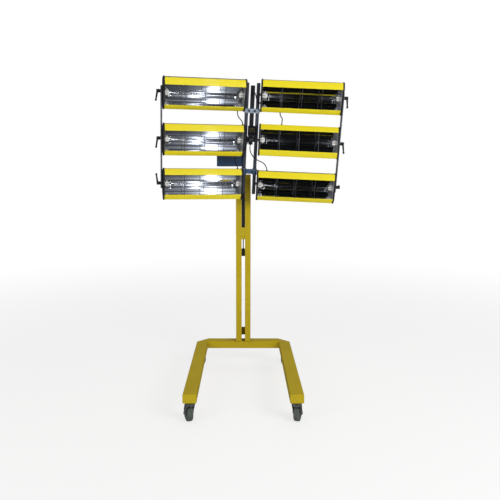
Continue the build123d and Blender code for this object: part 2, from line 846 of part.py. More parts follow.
def make_leads(side):
    """The leads that one bank holds."""
    jumpers = left_jumpers if side == "left" else right_jumpers
    routes = [jumper_route(side, upper, *reaches) for upper, reaches in jumpers.items()]
    if side == "left":
        x, y, z = left_feed_end
        feed = [point_on(head_place, *p) for p in left_feed]
        feed += [point_on(bank_place(side), x, y - lead_exit, z), point_on(bank_place(side), x, y, z)]
        routes.append(feed)
    else:
        bottom, top = cassette_place(side, "bottom"), cassette_place(side, "top")
        feed = [point_on(head_place, *p) for p in right_feed]
        feed += [
            point_on(bottom, right_feed_reach, lead_seat, shoulder_half + lead_exit),
            point_on(bottom, right_feed_reach, lead_seat, shoulder_half),
        ]
        x, y, z = top_lead_end
        over = [point_on(head_place, *p) for p in top_lead]
        over += [point_on(top, x - lead_exit, y, z), point_on(top, x, y, z)]
        routes += [feed, over]
    return Compound(children=[make_lead(route) for route in routes]), routes


parts = {
    "base_frame": make_base_frame(),
    "mast_posts": make_mast_posts(),
    "post_caps": make_post_caps(),
    "gas_spring_rod": make_gas_spring_rod(),
    "gas_spring_cylinder": make_gas_spring_cylinder(),
    "slider_tube": make_slider_tube(),
    "slider_foot": make_slider_foot(),
    "control_box": make_control_box(),
    "timer_knob": make_timer_knob(),
    "power_switch": make_power_switch(),
    "tilt_knuckle": knuckle_place * make_tilt_knuckle(),
    "head_spine": head_place * make_head_spine(),
}
lead_routes = {}
for corner, (x, y) in stem_places.items():
    caster_place = Pos(x, y, 0) * Rot(0, 0, caster_turn_angles[corner])
    parts["caster_fork_" + corner] = caster_place * make_caster_fork()
    parts["caster_wheel_" + corner] = caster_place * make_caster_wheel()
for side in sides:
    parts["bank_frame_" + side] = bank_place(side) * on_side(make_bank_frame(), side)
    parts["leads_" + side], lead_routes[side] = make_leads(side)
    for row in rows:
        place = cassette_place(side, row)
        name = side + "_" + row
        parts["housing_" + name] = place * on_side(make_housing(), side)
        parts["end_caps_" + name] = place * on_side(make_end_caps(), side)
        parts["reflector_" + name] = place * on_side(make_reflector(), side)
        parts["emitter_" + name] = place * on_side(make_emitter(), side)
        parts["guard_" + name] = place * on_side(make_guard(), side)
        parts["clamp_lever_" + name] = posed_lever(side, row)

# The origin goes to the floor, in the middle of the whole lamp's bounding box.
whole = Compound(children=[Compound(part.solids()) for part in parts.values()]).bounding_box()
to_origin = Pos(-(whole.min.X + whole.max.X) / 2, -(whole.min.Y + whole.max.Y) / 2, 0)

os.makedirs("parts", exist_ok=True)
for name, part in parts.items():
    export_step(Compound([to_origin * solid for solid in part.solids()]), "parts/" + name + ".step")
print("origin moved by", *(round(v, 3) for v in tuple(to_origin.position)))
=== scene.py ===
import json
from math import cos, pi, radians, sin

import bmesh
import bpy
from mathutils import Matrix, Vector


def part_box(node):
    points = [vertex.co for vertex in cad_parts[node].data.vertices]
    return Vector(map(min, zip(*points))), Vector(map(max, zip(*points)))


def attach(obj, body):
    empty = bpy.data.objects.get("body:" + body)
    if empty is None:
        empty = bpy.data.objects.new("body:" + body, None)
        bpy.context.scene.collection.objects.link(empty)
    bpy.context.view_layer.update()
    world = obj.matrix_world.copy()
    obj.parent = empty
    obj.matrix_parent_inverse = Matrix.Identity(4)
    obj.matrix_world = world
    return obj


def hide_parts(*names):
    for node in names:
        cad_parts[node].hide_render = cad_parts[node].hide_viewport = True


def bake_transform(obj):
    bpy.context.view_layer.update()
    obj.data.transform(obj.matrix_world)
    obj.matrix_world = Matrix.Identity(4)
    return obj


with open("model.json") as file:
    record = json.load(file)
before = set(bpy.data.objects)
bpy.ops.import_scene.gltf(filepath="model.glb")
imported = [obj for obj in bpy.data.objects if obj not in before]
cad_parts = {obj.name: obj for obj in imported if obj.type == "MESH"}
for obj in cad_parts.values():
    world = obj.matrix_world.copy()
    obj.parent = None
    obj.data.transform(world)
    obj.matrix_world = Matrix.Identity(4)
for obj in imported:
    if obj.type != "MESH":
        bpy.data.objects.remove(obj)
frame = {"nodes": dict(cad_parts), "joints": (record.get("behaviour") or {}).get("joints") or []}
scene = bpy.context.scene
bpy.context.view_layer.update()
nodes = frame["nodes"]
joints = {joint["name"]: joint for joint in frame["joints"]}

# Camera. It stands as the photographer did, 3 m in front of the posts, as high as the lowest
# cassettes, and looks slightly down. Lens and shift were fitted to the photograph's edges.


def in_scene(name, data):
    """An object made of data, in the scene."""
    made = bpy.data.objects.new(name, data)
    scene.collection.objects.link(made)
    return made


camera = in_scene("camera", bpy.data.cameras.new("camera"))
scene.camera = camera
mast_low, mast_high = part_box("mast_posts")
camera_distance, camera_height = 2.97, 1.082
look_down = radians(6.9)
camera.location = ((mast_low.x + mast_high.x) / 2, mast_low.y - camera_distance, camera_height)
camera.rotation_euler = (pi / 2 - look_down, 0, 0)
camera.data.sensor_width = 36
camera.data.lens = 38.95
camera.data.shift_x = 0.0134
camera.data.shift_y = -0.0216

# Floor and light. The floor is a pale disc that fades to white at its rim, and keeps the lamp's
# shadow. The room that shines in metal is dark in front, with one bright upright window to the
# camera's right, and pale at the sides and behind. The floor isn't in the way of that shine.
scene.view_settings.view_transform = "Standard"
window_turn = radians(12.0)
shine_along_window = {
    -1.0: 0.06, -0.5: 0.03, -0.28: 0.001, -0.02: 0.001, 0.06: 0.018, 0.11: 0.044, 0.142: 0.12,
    0.153: 0.9, 0.163: 0.9, 0.174: 0.12, 0.21: 0.048, 0.25: 0.016, 0.32: 0.01, 0.5: 0.03,
    1.0: 0.06,
}
pale_by_height = {-1.0: 0.018, 0.3: 0.018, 0.34: 0.004, 0.42: 0.004, 0.5: 0.042, 1.0: 0.042}
share_by_height = {-1.0: 0.3, -0.14: 0.3, -0.12: 0.85, 0.45: 0.85, 0.75: 0.45, 1.0: 0.45}
shine_strength, even_strength = 9.0, 0.42
pale_from, pale_to = -0.15, 0.25
cool, white = (0.84, 0.89, 1.0), (1, 1, 1, 1)
floor_radius, floor_fade_start, floor_fade_end, floor_white_share = 9.0, 1.0, 4.6, 0.7
floor_grey = (0.9, 0.9, 0.89, 1)


def node(tree, kind, sockets=None, **settings):
    """A shader node. Each socket named takes a value, or a link from a socket or a node."""
    made = tree.nodes.new("ShaderNode" + kind)
    for key, value in settings.items():
        setattr(made, key, value)
    for key, value in (sockets or {}).items():
        if isinstance(value, bpy.types.Node):
            value = value.outputs[0]
        if isinstance(value, bpy.types.NodeSocket):
            tree.links.new(value, made.inputs[key])
        else:
            made.inputs[key].default_value = value
    return made


def cleared_tree(owner):
    """The node tree of a material or a world, without a node in it."""
    owner.use_nodes = True
    owner.node_tree.nodes.clear()
    return owner.node_tree


def by_stops(tree, stops, value, tone=(1, 1, 1)):
    """A grey, or a tone of it, read from stops for a value from -1 to 1."""
    place = node(tree, "MapRange", {"Value": value, "From Min": -1.0})
    ramp = node(tree, "ValToRGB", {"Fac": place})
    for where in sorted(stops)[1:-1]:
        ramp.color_ramp.elements.new((where + 1) / 2)
    for stop, where in zip(ramp.color_ramp.elements, sorted(stops)):
        stop.color = (*(stops[where] * part for part in tone), 1)
    return ramp


def object_of(name, mesh, made):
    """An object made of a finished mesh, in one material."""
    data = bpy.data.meshes.new(name)
    mesh.to_mesh(data)
    mesh.free()
    data.materials.append(made)
    data.shade_smooth()
    return in_scene(name, data)


floor_mesh = bmesh.new()
bmesh.ops.create_circle(floor_mesh, cap_ends=True, radius=floor_radius, segments=96)
floor_paint = bpy.data.materials.new("pale_floor")
floor = object_of("floor", floor_mesh, floor_paint)
tree = cleared_tree(floor_paint)
place = node(tree, "TexCoord").outputs["Object"]
distance = node(tree, "VectorMath", {0: place}, operation="LENGTH").outputs["Value"]
fade = node(tree, "MapRange", {
    "Value": distance, "From Min": floor_fade_start, "From Max": floor_fade_end,
    "To Min": floor_white_share,
}, interpolation_type="SMOOTHSTEP")
seen = node(tree, "LightPath").outputs
white_share = node(tree, "Math", {0: fade, 1: seen["Is Camera Ray"]}, operation="MULTIPLY")
matt = node(tree, "BsdfDiffuse", {"Color": floor_grey})
unmirrored = node(tree, "BsdfTransparent")
matt_or_none = node(tree, "MixShader", {0: seen["Is Glossy Ray"], 1: matt, 2: unmirrored})
glow = node(tree, "Emission", {"Color": white})
mixed = node(tree, "MixShader", {0: white_share, 1: matt_or_none, 2: glow})
node(tree, "OutputMaterial", {0: mixed})

scene.world = bpy.data.worlds.new("studio")
tree = cleared_tree(scene.world)
direction = node(tree, "TexCoord").outputs["Generated"]
split = node(tree, "SeparateXYZ", {0: direction}).outputs
along_window = node(tree, "VectorMath", {
    0: direction, 1: (cos(window_turn), sin(window_turn), 0),
}, operation="DOT_PRODUCT").outputs["Value"]
behind = node(tree, "MapRange", {
    "Value": split["Y"], "From Min": pale_from, "From Max": pale_to,
})
shine = node(tree, "Mix", {
    "Factor": behind, "A": by_stops(tree, shine_along_window, along_window, cool),
    "B": by_stops(tree, pale_by_height, split["Z"]),
}, data_type="RGBA").outputs["Result"]
strength = node(tree, "Math", {
    0: by_stops(tree, share_by_height, split["Z"]), 1: shine_strength,
}, operation="MULTIPLY")
room = node(tree, "Background", {"Color": shine, "Strength": strength})
even = node(tree, "Background", {"Color": white, "Strength": even_strength})
backdrop = node(tree, "Background", {"Color": white, "Strength": 1.0})
seen = node(tree, "LightPath").outputs
bounced = node(tree, "Math", {
    0: seen["Is Glossy Ray"], 1: seen["Is Transmission Ray"],
}, operation="MAXIMUM")
room_or_even = node(tree, "MixShader", {0: bounced, 1: even, 2: room})
all_rays = node(tree, "MixShader", {0: seen["Is Camera Ray"], 1: room_or_even, 2: backdrop})
node(tree, "OutputWorld", {0: all_rays})

lit_middle = Vector((0, 0.1, 1.0))
soft_lights = {
    "key": ((2.0, -2.4, 2.0), 1.5, 58.0),
    "fill": ((-2.1, -2.5, 1.7), 1.8, 26.0),
    "back": ((0.3, 2.4, 2.8), 1.8, 12.0),
}
for name, (where, width, watts) in soft_lights.items():
    lamp_data = bpy.data.lights.new(name, "AREA")
    lamp_data.shape = "SQUARE"
    lamp_data.size = width
    lamp_data.energy = watts
    light = in_scene(name, lamp_data)
    light.location = where
    light.visible_glossy = False
    light.rotation_euler = (lit_middle - Vector(where)).to_track_quat("-Z", "Y").to_euler()

# Stand. A flat U of rectangular steel tube with two posts, welded and sprayed in a golden yellow
# enamel. The coat is a little wavy, and beads of weld show through it round the feet of the posts.


def finish(name, colour, roughness, metallic=0.0, **more):
    """A surface with one colour, before anything varies it."""
    made = bpy.data.materials.new(name)
    made.use_nodes = True
    shader = made.node_tree.nodes["Principled BSDF"]
    shader.inputs["Base Color"].default_value = (*colour, 1)
    shader.inputs["Roughness"].default_value = roughness
    shader.inputs["Metallic"].default_value = metallic
    for key, value in more.items():
        shader.inputs[key.replace("_", " ")].default_value = value
    return made


def noise(made, scale, detail=2.0, stretch=(1, 1, 1), own=False):
    """A noise value that follows the piece, in the room's axes or in the piece's own."""
    tree = made.node_tree
    if own:
        place = node(tree, "Attribute", attribute_name="own_place").outputs["Vector"]
    else:
        place = node(tree, "TexCoord").outputs["Object"]
    spread = node(tree, "Mapping", {"Vector": place, "Scale": stretch})
    return node(tree, "TexNoise", {"Vector": spread, "Scale": scale, "Detail": detail})


def band(made, value, low, high, bottom, top):
    """Maps a value from low..high to bottom..top."""
    return node(made.node_tree, "MapRange", {
        "Value": value, "From Min": low, "From Max": high, "To Min": bottom, "To Max": top,
    })


def tint(made, share, colour):
    """Mixes a second colour into the base, by a share."""
    base = made.node_tree.nodes["Principled BSDF"].inputs["Base Color"]
    under = base.links[0].from_socket if base.is_linked else base.default_value[:]
    blend = node(made.node_tree, "Mix", {
        "A": under, "B": (*colour, 1), "Factor": share,
    }, data_type="RGBA")
    made.node_tree.links.new(blend.outputs["Result"], base)


def mottle(made, scale, detail, low, high, most, colour, **axes):
    """Lays patches of a second colour where a noise lies between low and high."""
    tint(made, band(made, noise(made, scale, detail, **axes), low, high, 0.0, most), colour)


def wear(made, scale, detail, smoothest, roughest, **axes):
    """Lets the roughness follow a noise."""
    rough = band(made, noise(made, scale, detail, **axes), 0.3, 0.7, smoothest, roughest)
    shader = made.node_tree.nodes["Principled BSDF"]
    made.node_tree.links.new(rough.outputs[0], shader.inputs["Roughness"])


def waves(made, scale, depth, strength=1.0, **axes):
    """Raises the skin in fine waves, as high as depth."""
    normal = made.node_tree.nodes["Principled BSDF"].inputs["Normal"]
    sockets = {"Height": noise(made, scale, **axes), "Distance": depth, "Strength": strength}
    if normal.is_linked:
        sockets["Normal"] = normal.links[0].from_socket
    bump = node(made.node_tree, "Bump", sockets)
    made.node_tree.links.new(bump.outputs["Normal"], normal)


def rounded_edges(made, radius):
    """Shades sharp edges as if they were a little rounded."""
    tree = made.node_tree
    soft = node(tree, "Bevel", {"Radius": radius}, samples=4)
    tree.links.new(soft.outputs["Normal"], tree.nodes["Principled BSDF"].inputs["Normal"])


def painted_shade_in_creases(made, colour, reach, most):
    """Paints shade into the colour of the creases, as far from them as reach."""
    hidden = node(made.node_tree, "AmbientOcclusion", {"Distance": reach}, samples=8)
    tint(made, band(made, hidden.outputs["AO"], 0.25, 0.85, most, 0.0), colour)


def paint_nodes(made, *names):
    """Gives CAD nodes their finish."""
    for name in names:
        for holder in nodes[name].material_slots:
            holder.material = made


def piece(name, mesh, made, body, place=Matrix(), mirrored=False, smooth=30.0):
    """Makes a piece of a finished mesh, in its place and riding on its body."""
    own_place = mesh.verts.layers.float_vector.new("own_place")
    for vert in mesh.verts:
        vert[own_place] = vert.co
    if mirrored:
        bmesh.ops.scale(mesh, vec=(-1, 1, 1), verts=mesh.verts)
        bmesh.ops.reverse_faces(mesh, faces=mesh.faces)
    bmesh.ops.transform(mesh, matrix=place, verts=mesh.verts)
    made_piece = object_of(name, mesh, made)
    made_piece.data.set_sharp_from_angle(angle=radians(smooth))
    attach(made_piece, body)
    return made_piece


def weld(mesh, start, end, radius=0.0022, pitch=0.0034):
    """A seam of overlapping beads between two points."""
    a, b = Vector(start), Vector(end)
    steps = round((b - a).length / pitch)
    for count in range(steps + 1):
        lay = Matrix.Translation(a.lerp(b, count / steps)) @ Matrix.Diagonal((1, 1, 0.7, 1))
        bmesh.ops.create_icosphere(mesh, subdivisions=2, radius=radius, matrix=lay)


stand_enamel = finish("stand_enamel", (0.51, 0.385, 0.012), 0.34, Specular_IOR_Level=0.22)
mottle(stand_enamel, 5.0, 4.0, 0.35, 0.7, 0.5, (0.42, 0.295, 0.009))
# Painted shade: the enamel's colour darkens in the creases and the gaps between the tubes, found by
# ambient occlusion.
painted_shade_in_creases(stand_enamel, (0.24, 0.17, 0.015), 0.016, 0.55)
wear(stand_enamel, 14.0, 3.0, 0.28, 0.46)
rounded_edges(stand_enamel, 0.002)
waves(stand_enamel, 420.0, 0.00012)
paint_nodes(stand_enamel, "base_frame", "mast_posts")
post_width, bridge_plate = 0.031, 0.004
base_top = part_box("base_frame")[1].z
mesh = bmesh.new()
for x_from in (mast_low.x, mast_high.x - post_width):
    x_to, y_to = x_from + post_width, mast_high.y - bridge_plate
    foot = [(x_from, mast_low.y), (x_to, mast_low.y), (x_to, y_to), (x_from, y_to)]
    for start, end in zip(foot, foot[1:] + foot[:1]):
        weld(mesh, (*start, base_top), (*end, base_top))
piece("post_welds", mesh, stand_enamel, "stand", smooth=60.0)

# Casters. A zinc plated fork turns on each stem. Its wheel has a grey rubber tyre with a groove on
# a spoked plastic hub, and a steel race round the axle.
zinc_plate = finish("zinc_plate", (0.58, 0.6, 0.62), 0.34, 0.95)
mottle(zinc_plate, 35.0, 4.0, 0.45, 0.7, 0.5, (0.42, 0.43, 0.42))
wear(zinc_plate, 60.0, 3.0, 0.24, 0.46)
rounded_edges(zinc_plate, 0.0012)
tyre_rubber = finish("tyre_rubber", (0.085, 0.1, 0.09), 0.72)
mottle(tyre_rubber, 45.0, 4.0, 0.4, 0.75, 0.6, (0.13, 0.14, 0.12))
waves(tyre_rubber, 600.0, 0.0001)
hub_plastic = finish("hub_plastic", (0.16, 0.18, 0.17), 0.45)
mottle(hub_plastic, 70.0, 3.0, 0.45, 0.7, 0.5, (0.1, 0.11, 0.1))
pin_steel = finish("pin_steel", (0.56, 0.56, 0.57), 0.3, 1.0)
wear(pin_steel, 90.0, 3.0, 0.2, 0.4)


def rounded(mesh, edges, offset, segments=2):
    """Rounds edges by an offset."""
    mesh.edges.index_update()
    geom = sorted(set(edges), key=lambda edge: edge.index)
    bmesh.ops.bevel(
        mesh, geom=geom, offset=offset, segments=segments, profile=0.5, affect="EDGES", material=-1
    )


def block(mesh, corner, far_corner, edge=0.0, segments=2, place=Matrix()):
    """A block between two opposite corners, its edges rounded by edge."""
    a, b = Vector(corner), Vector(far_corner)
    size = [abs(length) for length in b - a]
    lay = place @ Matrix.Translation((a + b) / 2) @ Matrix.Diagonal((*size, 1))
    made = bmesh.ops.create_cube(mesh, size=1, matrix=lay)["verts"]
    if edge:
        rounded(mesh, [e for v in made for e in v.link_edges], edge, segments)


def face_outwards(mesh):
    """Turns every face to the outside."""
    bmesh.ops.recalc_face_normals(mesh, faces=mesh.faces)


def turned(mesh, half, segments=64):
    """A ring turned about x. Half its section is given, as points (x, radius), and mirrored."""
    section = half + [(-x, r) for x, r in reversed(half)]
    ring = [mesh.verts.new((x, 0, r)) for x, r in section]
    edges = [mesh.edges.new(pair) for pair in zip(ring, ring[1:] + ring[:1])]
    bmesh.ops.spin(
        mesh, geom=ring + edges, cent=(0, 0, 0), axis=(1, 0, 0), angle=2 * pi,
        steps=segments, use_merge=True,
    )
    face_outwards(mesh)


def fit_to_each(spots, kind, mesh, made, replaced=None, smooth=30.0):
    """Fits a copy of a finished mesh to each spot, which has a name, a body and a place."""
    for spot, body, place, mirrored in spots:
        name = f"{kind}_{spot}"
        fitted = piece(name, mesh.copy(), made, body, place, mirrored, smooth)
        if replaced:
            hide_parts(f"{replaced}_{spot}")
    mesh.free()


tyre_half = [
    (0.001, 0.0366), (0.0016, 0.0375), (0.0085, 0.0372), (0.0112, 0.0358), (0.0127, 0.0325),
    (0.0127, 0.029), (0.0119, 0.0268), (0.001, 0.0266),
]
hub_half = [
    (0.001, 0.0268), (0.0119, 0.0268), (0.0119, 0.0248), (0.0046, 0.0238), (0.004, 0.0122),
    (0.014, 0.0112), (0.0152, 0.0102), (0.0152, 0.0062), (0.001, 0.0062),
]
race_half = [(0.001, 0.0062), (0.0155, 0.0062), (0.0155, 0.0042), (0.001, 0.0042)]
spoke_count, spoke_from, spoke_to = 6, (-0.0098, -0.0014, 0.011), (0.0098, 0.0014, 0.025)
wheels = []
for corner in ("front_left", "front_right", "rear_left", "rear_right"):
    paint_nodes(zinc_plate, "caster_fork_" + corner)
    roll = joints["roll_" + corner]
    lay = Vector(roll["axis"]).to_track_quat("X", "Z").to_matrix().to_4x4()
    place = Matrix.Translation(roll["pos_m"]) @ lay
    wheels.append((corner, "wheel_" + corner, place, False))
mesh = bmesh.new()
turned(mesh, tyre_half)
fit_to_each(wheels, "tyre", mesh, tyre_rubber, "caster_wheel")
mesh = bmesh.new()
turned(mesh, hub_half)
for count in range(spoke_count):
    turn = Matrix.Rotation(2 * pi * count / spoke_count, 4, "X")
    block(mesh, spoke_from, spoke_to, 0.0005, place=turn)
fit_to_each(wheels, "hub", mesh, hub_plastic)
mesh = bmesh.new()
turned(mesh, race_half, 32)
fit_to_each(wheels, "race", mesh, pin_steel)

# Caps, gas spring and foot. Black plugs close the posts. A chromed rod on a seat between them
# carries the slider, a dark tube with a yellow shoe.
black_moulding = finish("black_moulding", (0.018, 0.018, 0.019), 0.5)
mottle(black_moulding, 30.0, 4.0, 0.5, 0.8, 0.6, (0.045, 0.045, 0.045))
rounded_edges(black_moulding, 0.0008)
waves(black_moulding, 900.0, 0.00008)
bright_steel = finish("bright_steel", (0.8, 0.81, 0.82), 0.12, 1.0)
wear(bright_steel, 80.0, 2.0, 0.08, 0.2, stretch=(1, 1, 0.1))
dark_enamel = finish("dark_enamel", (0.02, 0.02, 0.026), 0.36, Coat_Weight=0.2)
mottle(dark_enamel, 9.0, 4.0, 0.4, 0.75, 0.6, (0.042, 0.042, 0.05))
rounded_edges(dark_enamel, 0.0015)
waves(dark_enamel, 450.0, 0.0001)
paint_nodes(dark_enamel, "gas_spring_cylinder", "slider_tube")
paint_nodes(black_moulding, "post_caps")
paint_nodes(stand_enamel, "slider_foot")
seat_low, rod_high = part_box("gas_spring_rod")
seat_height, rod_radius, rod_nut_radius, rod_nut_height = 0.037, 0.003, 0.0075, 0.0055
seat_top = seat_low.z + seat_height
rod_x, rod_y = (seat_low.x + rod_high.x) / 2, (seat_low.y + rod_high.y) / 2
mesh = bmesh.new()
block(mesh, seat_low, (rod_high.x, rod_high.y, seat_top), 0.002, 3)
seat = piece("spring_seat", mesh, dark_enamel, "stand")
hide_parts("gas_spring_rod")
rod_nut_top = seat_top + rod_nut_height


def bar(mesh, start, end, radius, tip=None, segments=24, edge=0.0, place=Matrix()):
    """A round bar or cone between two points, its rims rounded by edge."""
    a, b = Vector(start), Vector(end)
    lay = Matrix.Translation((a + b) / 2) @ (b - a).to_track_quat("Z", "Y").to_matrix().to_4x4()
    made = bmesh.ops.create_cone(
        mesh, cap_ends=True, segments=segments, radius1=radius,
        radius2=radius if tip is None else tip, depth=(b - a).length, matrix=place @ lay,
    )["verts"]
    if edge:
        ends = [f for v in made for f in v.link_faces if len(f.verts) > 4]
        rounded(mesh, [e for f in ends for e in f.edges], edge, 3)


mesh = bmesh.new()
for top, radius, sides in ((rod_high.z, rod_radius, 24), (rod_nut_top, rod_nut_radius, 6)):
    bar(mesh, (rod_x, rod_y, seat_top), (rod_x, rod_y, top), radius, segments=sides, edge=0.0004)
piece("spring_rod", mesh, bright_steel, "stand")

# Control box. A small pressed steel box in dark blue. Its back carries a timer knob with a scale of
# ticks, a rocker in a bezel, the gland for the supply, and a screw in each corner.
box_enamel = finish("box_enamel", (0.058, 0.118, 0.235), 0.4, Coat_Weight=0.15)
mottle(box_enamel, 12.0, 4.0, 0.4, 0.75, 0.5, (0.055, 0.1, 0.17))
waves(box_enamel, 500.0, 0.0001)
red_rocker = finish("red_rocker", (0.52, 0.02, 0.012), 0.3)
mottle(red_rocker, 120.0, 3.0, 0.5, 0.8, 0.4, (0.4, 0.03, 0.02))
rounded_edges(red_rocker, 0.0006)
scale_print = finish("scale_print", (0.72, 0.72, 0.7), 0.5)
mottle(scale_print, 300.0, 3.0, 0.5, 0.8, 0.5, (0.5, 0.5, 0.48))
paint_nodes(box_enamel, "control_box")
paint_nodes(black_moulding, "timer_knob")
paint_nodes(red_rocker, "power_switch")


def screw_head(mesh, centre, outwards, radius=0.0032, height=0.0016):
    """A pan head with a cross recess."""
    a = Vector(centre)
    b = a + Vector(outwards) * height
    bar(mesh, a, b, radius, tip=radius * 0.72, segments=20)
    lay = Matrix.Translation(b) @ (b - a).to_track_quat("Z", "Y").to_matrix().to_4x4()
    cross = Matrix.Diagonal((radius * 1.1, radius * 0.24, height * 0.16, 1))
    for turn in (0, pi / 2):
        bmesh.ops.create_cube(mesh, size=1, matrix=lay @ Matrix.Rotation(turn, 4, "Z") @ cross)


box_low, box_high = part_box("control_box")
gland_length, screw_inset = 0.015, 0.009
box_back = box_high.y - gland_length
mesh = bmesh.new()
for x in (box_low.x + screw_inset, box_high.x - screw_inset):
    for z in (box_low.z + screw_inset, box_high.z - screw_inset):
        screw_head(mesh, (x, box_back, z), (0, 1, 0))
piece("box_screws", mesh, pin_steel, "slider")
gland_inset, gland_rise, gland_bore = 0.025, 0.02, 0.0045
flange_radius, flange_length = 0.0113, 0.0062
nut_radius, nut_chamfer, half_nut = 0.0092, 0.001, gland_length / 2
flange_turn = Matrix.Rotation(pi / 2, 4, "X")
flange = bmesh.new()
bar(flange, (0, 0, 0), (flange_length, 0, 0), flange_radius, None, 6, 0.0005, flange_turn)
nut = bmesh.new()
turned(nut, [
    (0.001, nut_radius), (half_nut - nut_chamfer, nut_radius),
    (half_nut, nut_radius - nut_chamfer), (half_nut, gland_bore), (0.001, gland_bore),
], 40)
bmesh.ops.translate(nut, vec=(half_nut, 0, 0), verts=nut.verts)
gland_at = Matrix.Translation((box_low.x + gland_inset, box_back, box_low.z + gland_rise))
backwards = Matrix.Rotation(pi / 2, 4, "Z")
for name, mesh in (("gland_flange", flange), ("gland_nut", nut)):
    piece(name, mesh, black_moulding, "slider", gland_at @ backwards)
knob_at = Vector(joints["timer_turn"]["pos_m"])
tick_from, tick_to, tick_count, tick_half_width, print_height = 0.018, 0.0215, 11, 0.0006, 0.0001
long_tick, scale_turn = 0.002, 300
mesh = bmesh.new()
for count in range(tick_count):
    turn = radians(scale_turn * (count / (tick_count - 1) - 0.5))
    where = Matrix.Translation((knob_at.x, box_back, knob_at.z)) @ Matrix.Rotation(turn, 4, "Y")
    top = tick_to + long_tick * (count % 5 == 0)
    block(mesh, (-tick_half_width, 0, tick_from), (tick_half_width, print_height, top), place=where)
piece("timer_scale", mesh, scale_print, "slider")
pointer_half_width, pointer_from, pointer_to = 0.0008, 0.0035, 0.0135
pointer_sunk, pointer_proud = 0.0004, 0.00005
knob_front = Matrix.Translation((knob_at.x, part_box("timer_knob")[1].y, knob_at.z))
mesh = bmesh.new()
block(
    mesh, (-pointer_half_width, -pointer_sunk, pointer_from),
    (pointer_half_width, pointer_proud, pointer_to), place=knob_front,
)
piece("timer_pointer", mesh, scale_print, "knob")
bezel_width, bezel_height, bezel_sunk = 0.0032, 0.0012, 0.0002
rocker_half_x, rocker_half_z = 0.0076, 0.0126
bezel_x, bezel_z = rocker_half_x + bezel_width, rocker_half_z + bezel_width
switch_at = Vector(joints["switch_rock"]["pos_m"])
rocker_place = Matrix.Translation((switch_at.x, box_back, switch_at.z))
mesh = bmesh.new()
for sign in (-1, 1):
    for (x1, z1), (x2, z2) in (
        ((sign * rocker_half_x, -bezel_z), (sign * bezel_x, bezel_z)),
        ((-rocker_half_x, sign * rocker_half_z), (rocker_half_x, sign * bezel_z)),
    ):
        block(mesh, (x1, -bezel_sunk, z1), (x2, bezel_height, z2), 0.0004, place=rocker_place)
piece("rocker_bezel", mesh, black_moulding, "slider")

# Knuckle. The head tilts on a bolt between the ears of the slider's yoke, and turns on a shaft
# that stands out from it. Here and below, the rest angles of the joints are those of the solids.
head_tilt, head_roll = radians(9.8), radians(2.4)
head_reach, hinge_offset = 0.059, 0.028
tilt_axis = Matrix.Translation(joints["head_tilt"]["pos_m"])
knuckle_place = tilt_axis @ Matrix.Rotation(head_tilt, 4, "X")
head_place = knuckle_place @ Matrix.Rotation(head_roll, 4, "Y")
barrel_half, barrel_radius, bolt_radius = 0.0187, 0.013, 0.005
ear_face, nut_face, ear_washer, bolt_end = 0.0243, 0.0303, 0.0012, 0.0004
ear_washer_radius, ear_nut_radius = 0.0088, 0.0086
shaft_front, hub_front, hub_back, collar_back = -0.0833, -0.0743, -0.0437, -0.0387
neck_radius, collar_radius, shaft_radius = 0.011, 0.016, 0.008
shaft_washer, shaft_washer_radius, shaft_nut_radius, thread_end = 0.0015, 0.013, 0.0128, 0.0012
along_x, along_y, along_z = Matrix.Identity(3)


def bars(mesh, axis, *rows):
    """Round bars on one axis. A row says from, to, radius, number of sides and rounding."""
    for start, end, radius, sides, edge in rows:
        bar(mesh, axis * start, axis * end, radius, segments=sides, edge=edge)


mesh = bmesh.new()
bars(
    mesh, along_x, (-barrel_half, barrel_half, barrel_radius, 40, 0.0008),
    (-nut_face, nut_face, bolt_radius, 24, 0.0006),
    (-ear_face, -ear_face - ear_washer, ear_washer_radius, 32, 0.0),
    (-ear_face - ear_washer, bolt_end - nut_face, ear_nut_radius, 6, 0.0005),
    (ear_face, ear_face + ear_washer, ear_washer_radius, 32, 0.0),
    (ear_face + ear_washer, nut_face - bolt_end, ear_nut_radius, 6, 0.0005),
)
bars(
    mesh, along_y, (collar_back, 0, neck_radius, 40, 0.0),
    (hub_back, collar_back, collar_radius, 48, 0.0008),
    (shaft_front, collar_back, shaft_radius, 32, 0.001),
    (hub_front - shaft_washer, hub_front, shaft_washer_radius, 40, 0.0),
    (shaft_front + thread_end, hub_front - shaft_washer, shaft_nut_radius, 6, 0.0008),
)
knuckle = piece("knuckle", mesh, zinc_plate, "knuckle", knuckle_place)
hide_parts("tilt_knuckle")

# Head frame. A dark square spine rises from the hub. A bright split clamp on it and a dark blue tie
# below hold the uprights of the banks, and a channel in front holds the terminals.
spine_half, spine_top, spine_foot, spine_plug = 0.011, 0.272, -0.024, 0.003
clamp_radius, clamp_half, clamp_split = 0.0125, 0.011, 0.0004
clamp_level, tie_level, hub_rounding = 0.147, -0.165, 0.0003
blued_zinc = finish("blued_zinc", (0.46, 0.56, 0.7), 0.26, 0.3)
mottle(blued_zinc, 50.0, 4.0, 0.4, 0.7, 0.6, (0.3, 0.34, 0.42))
brass = finish("brass", (0.72, 0.52, 0.18), 0.24, 1.0)
wear(brass, 200.0, 2.0, 0.18, 0.38)
phenolic = finish("phenolic", (0.022, 0.034, 0.036), 0.38, Coat_Weight=0.25)
mottle(phenolic, 180.0, 4.0, 0.45, 0.75, 0.6, (0.055, 0.06, 0.055))


def moved(mesh, drawn, way):
    """Moves the points of what was drawn, and returns them."""
    points = [item for item in drawn if isinstance(item, bmesh.types.BMVert)]
    bmesh.ops.translate(mesh, vec=way, verts=points)
    return points


def drawn_out(mesh, outline, way):
    """A solid drawn from a flat outline. Returns its first and its last face."""
    face = mesh.faces.new([mesh.verts.new(point) for point in outline])
    drawn = bmesh.ops.extrude_face_region(mesh, geom=[face])["geom"]
    moved(mesh, drawn, way)
    return [face] + [f for f in drawn if isinstance(f, bmesh.types.BMFace)]


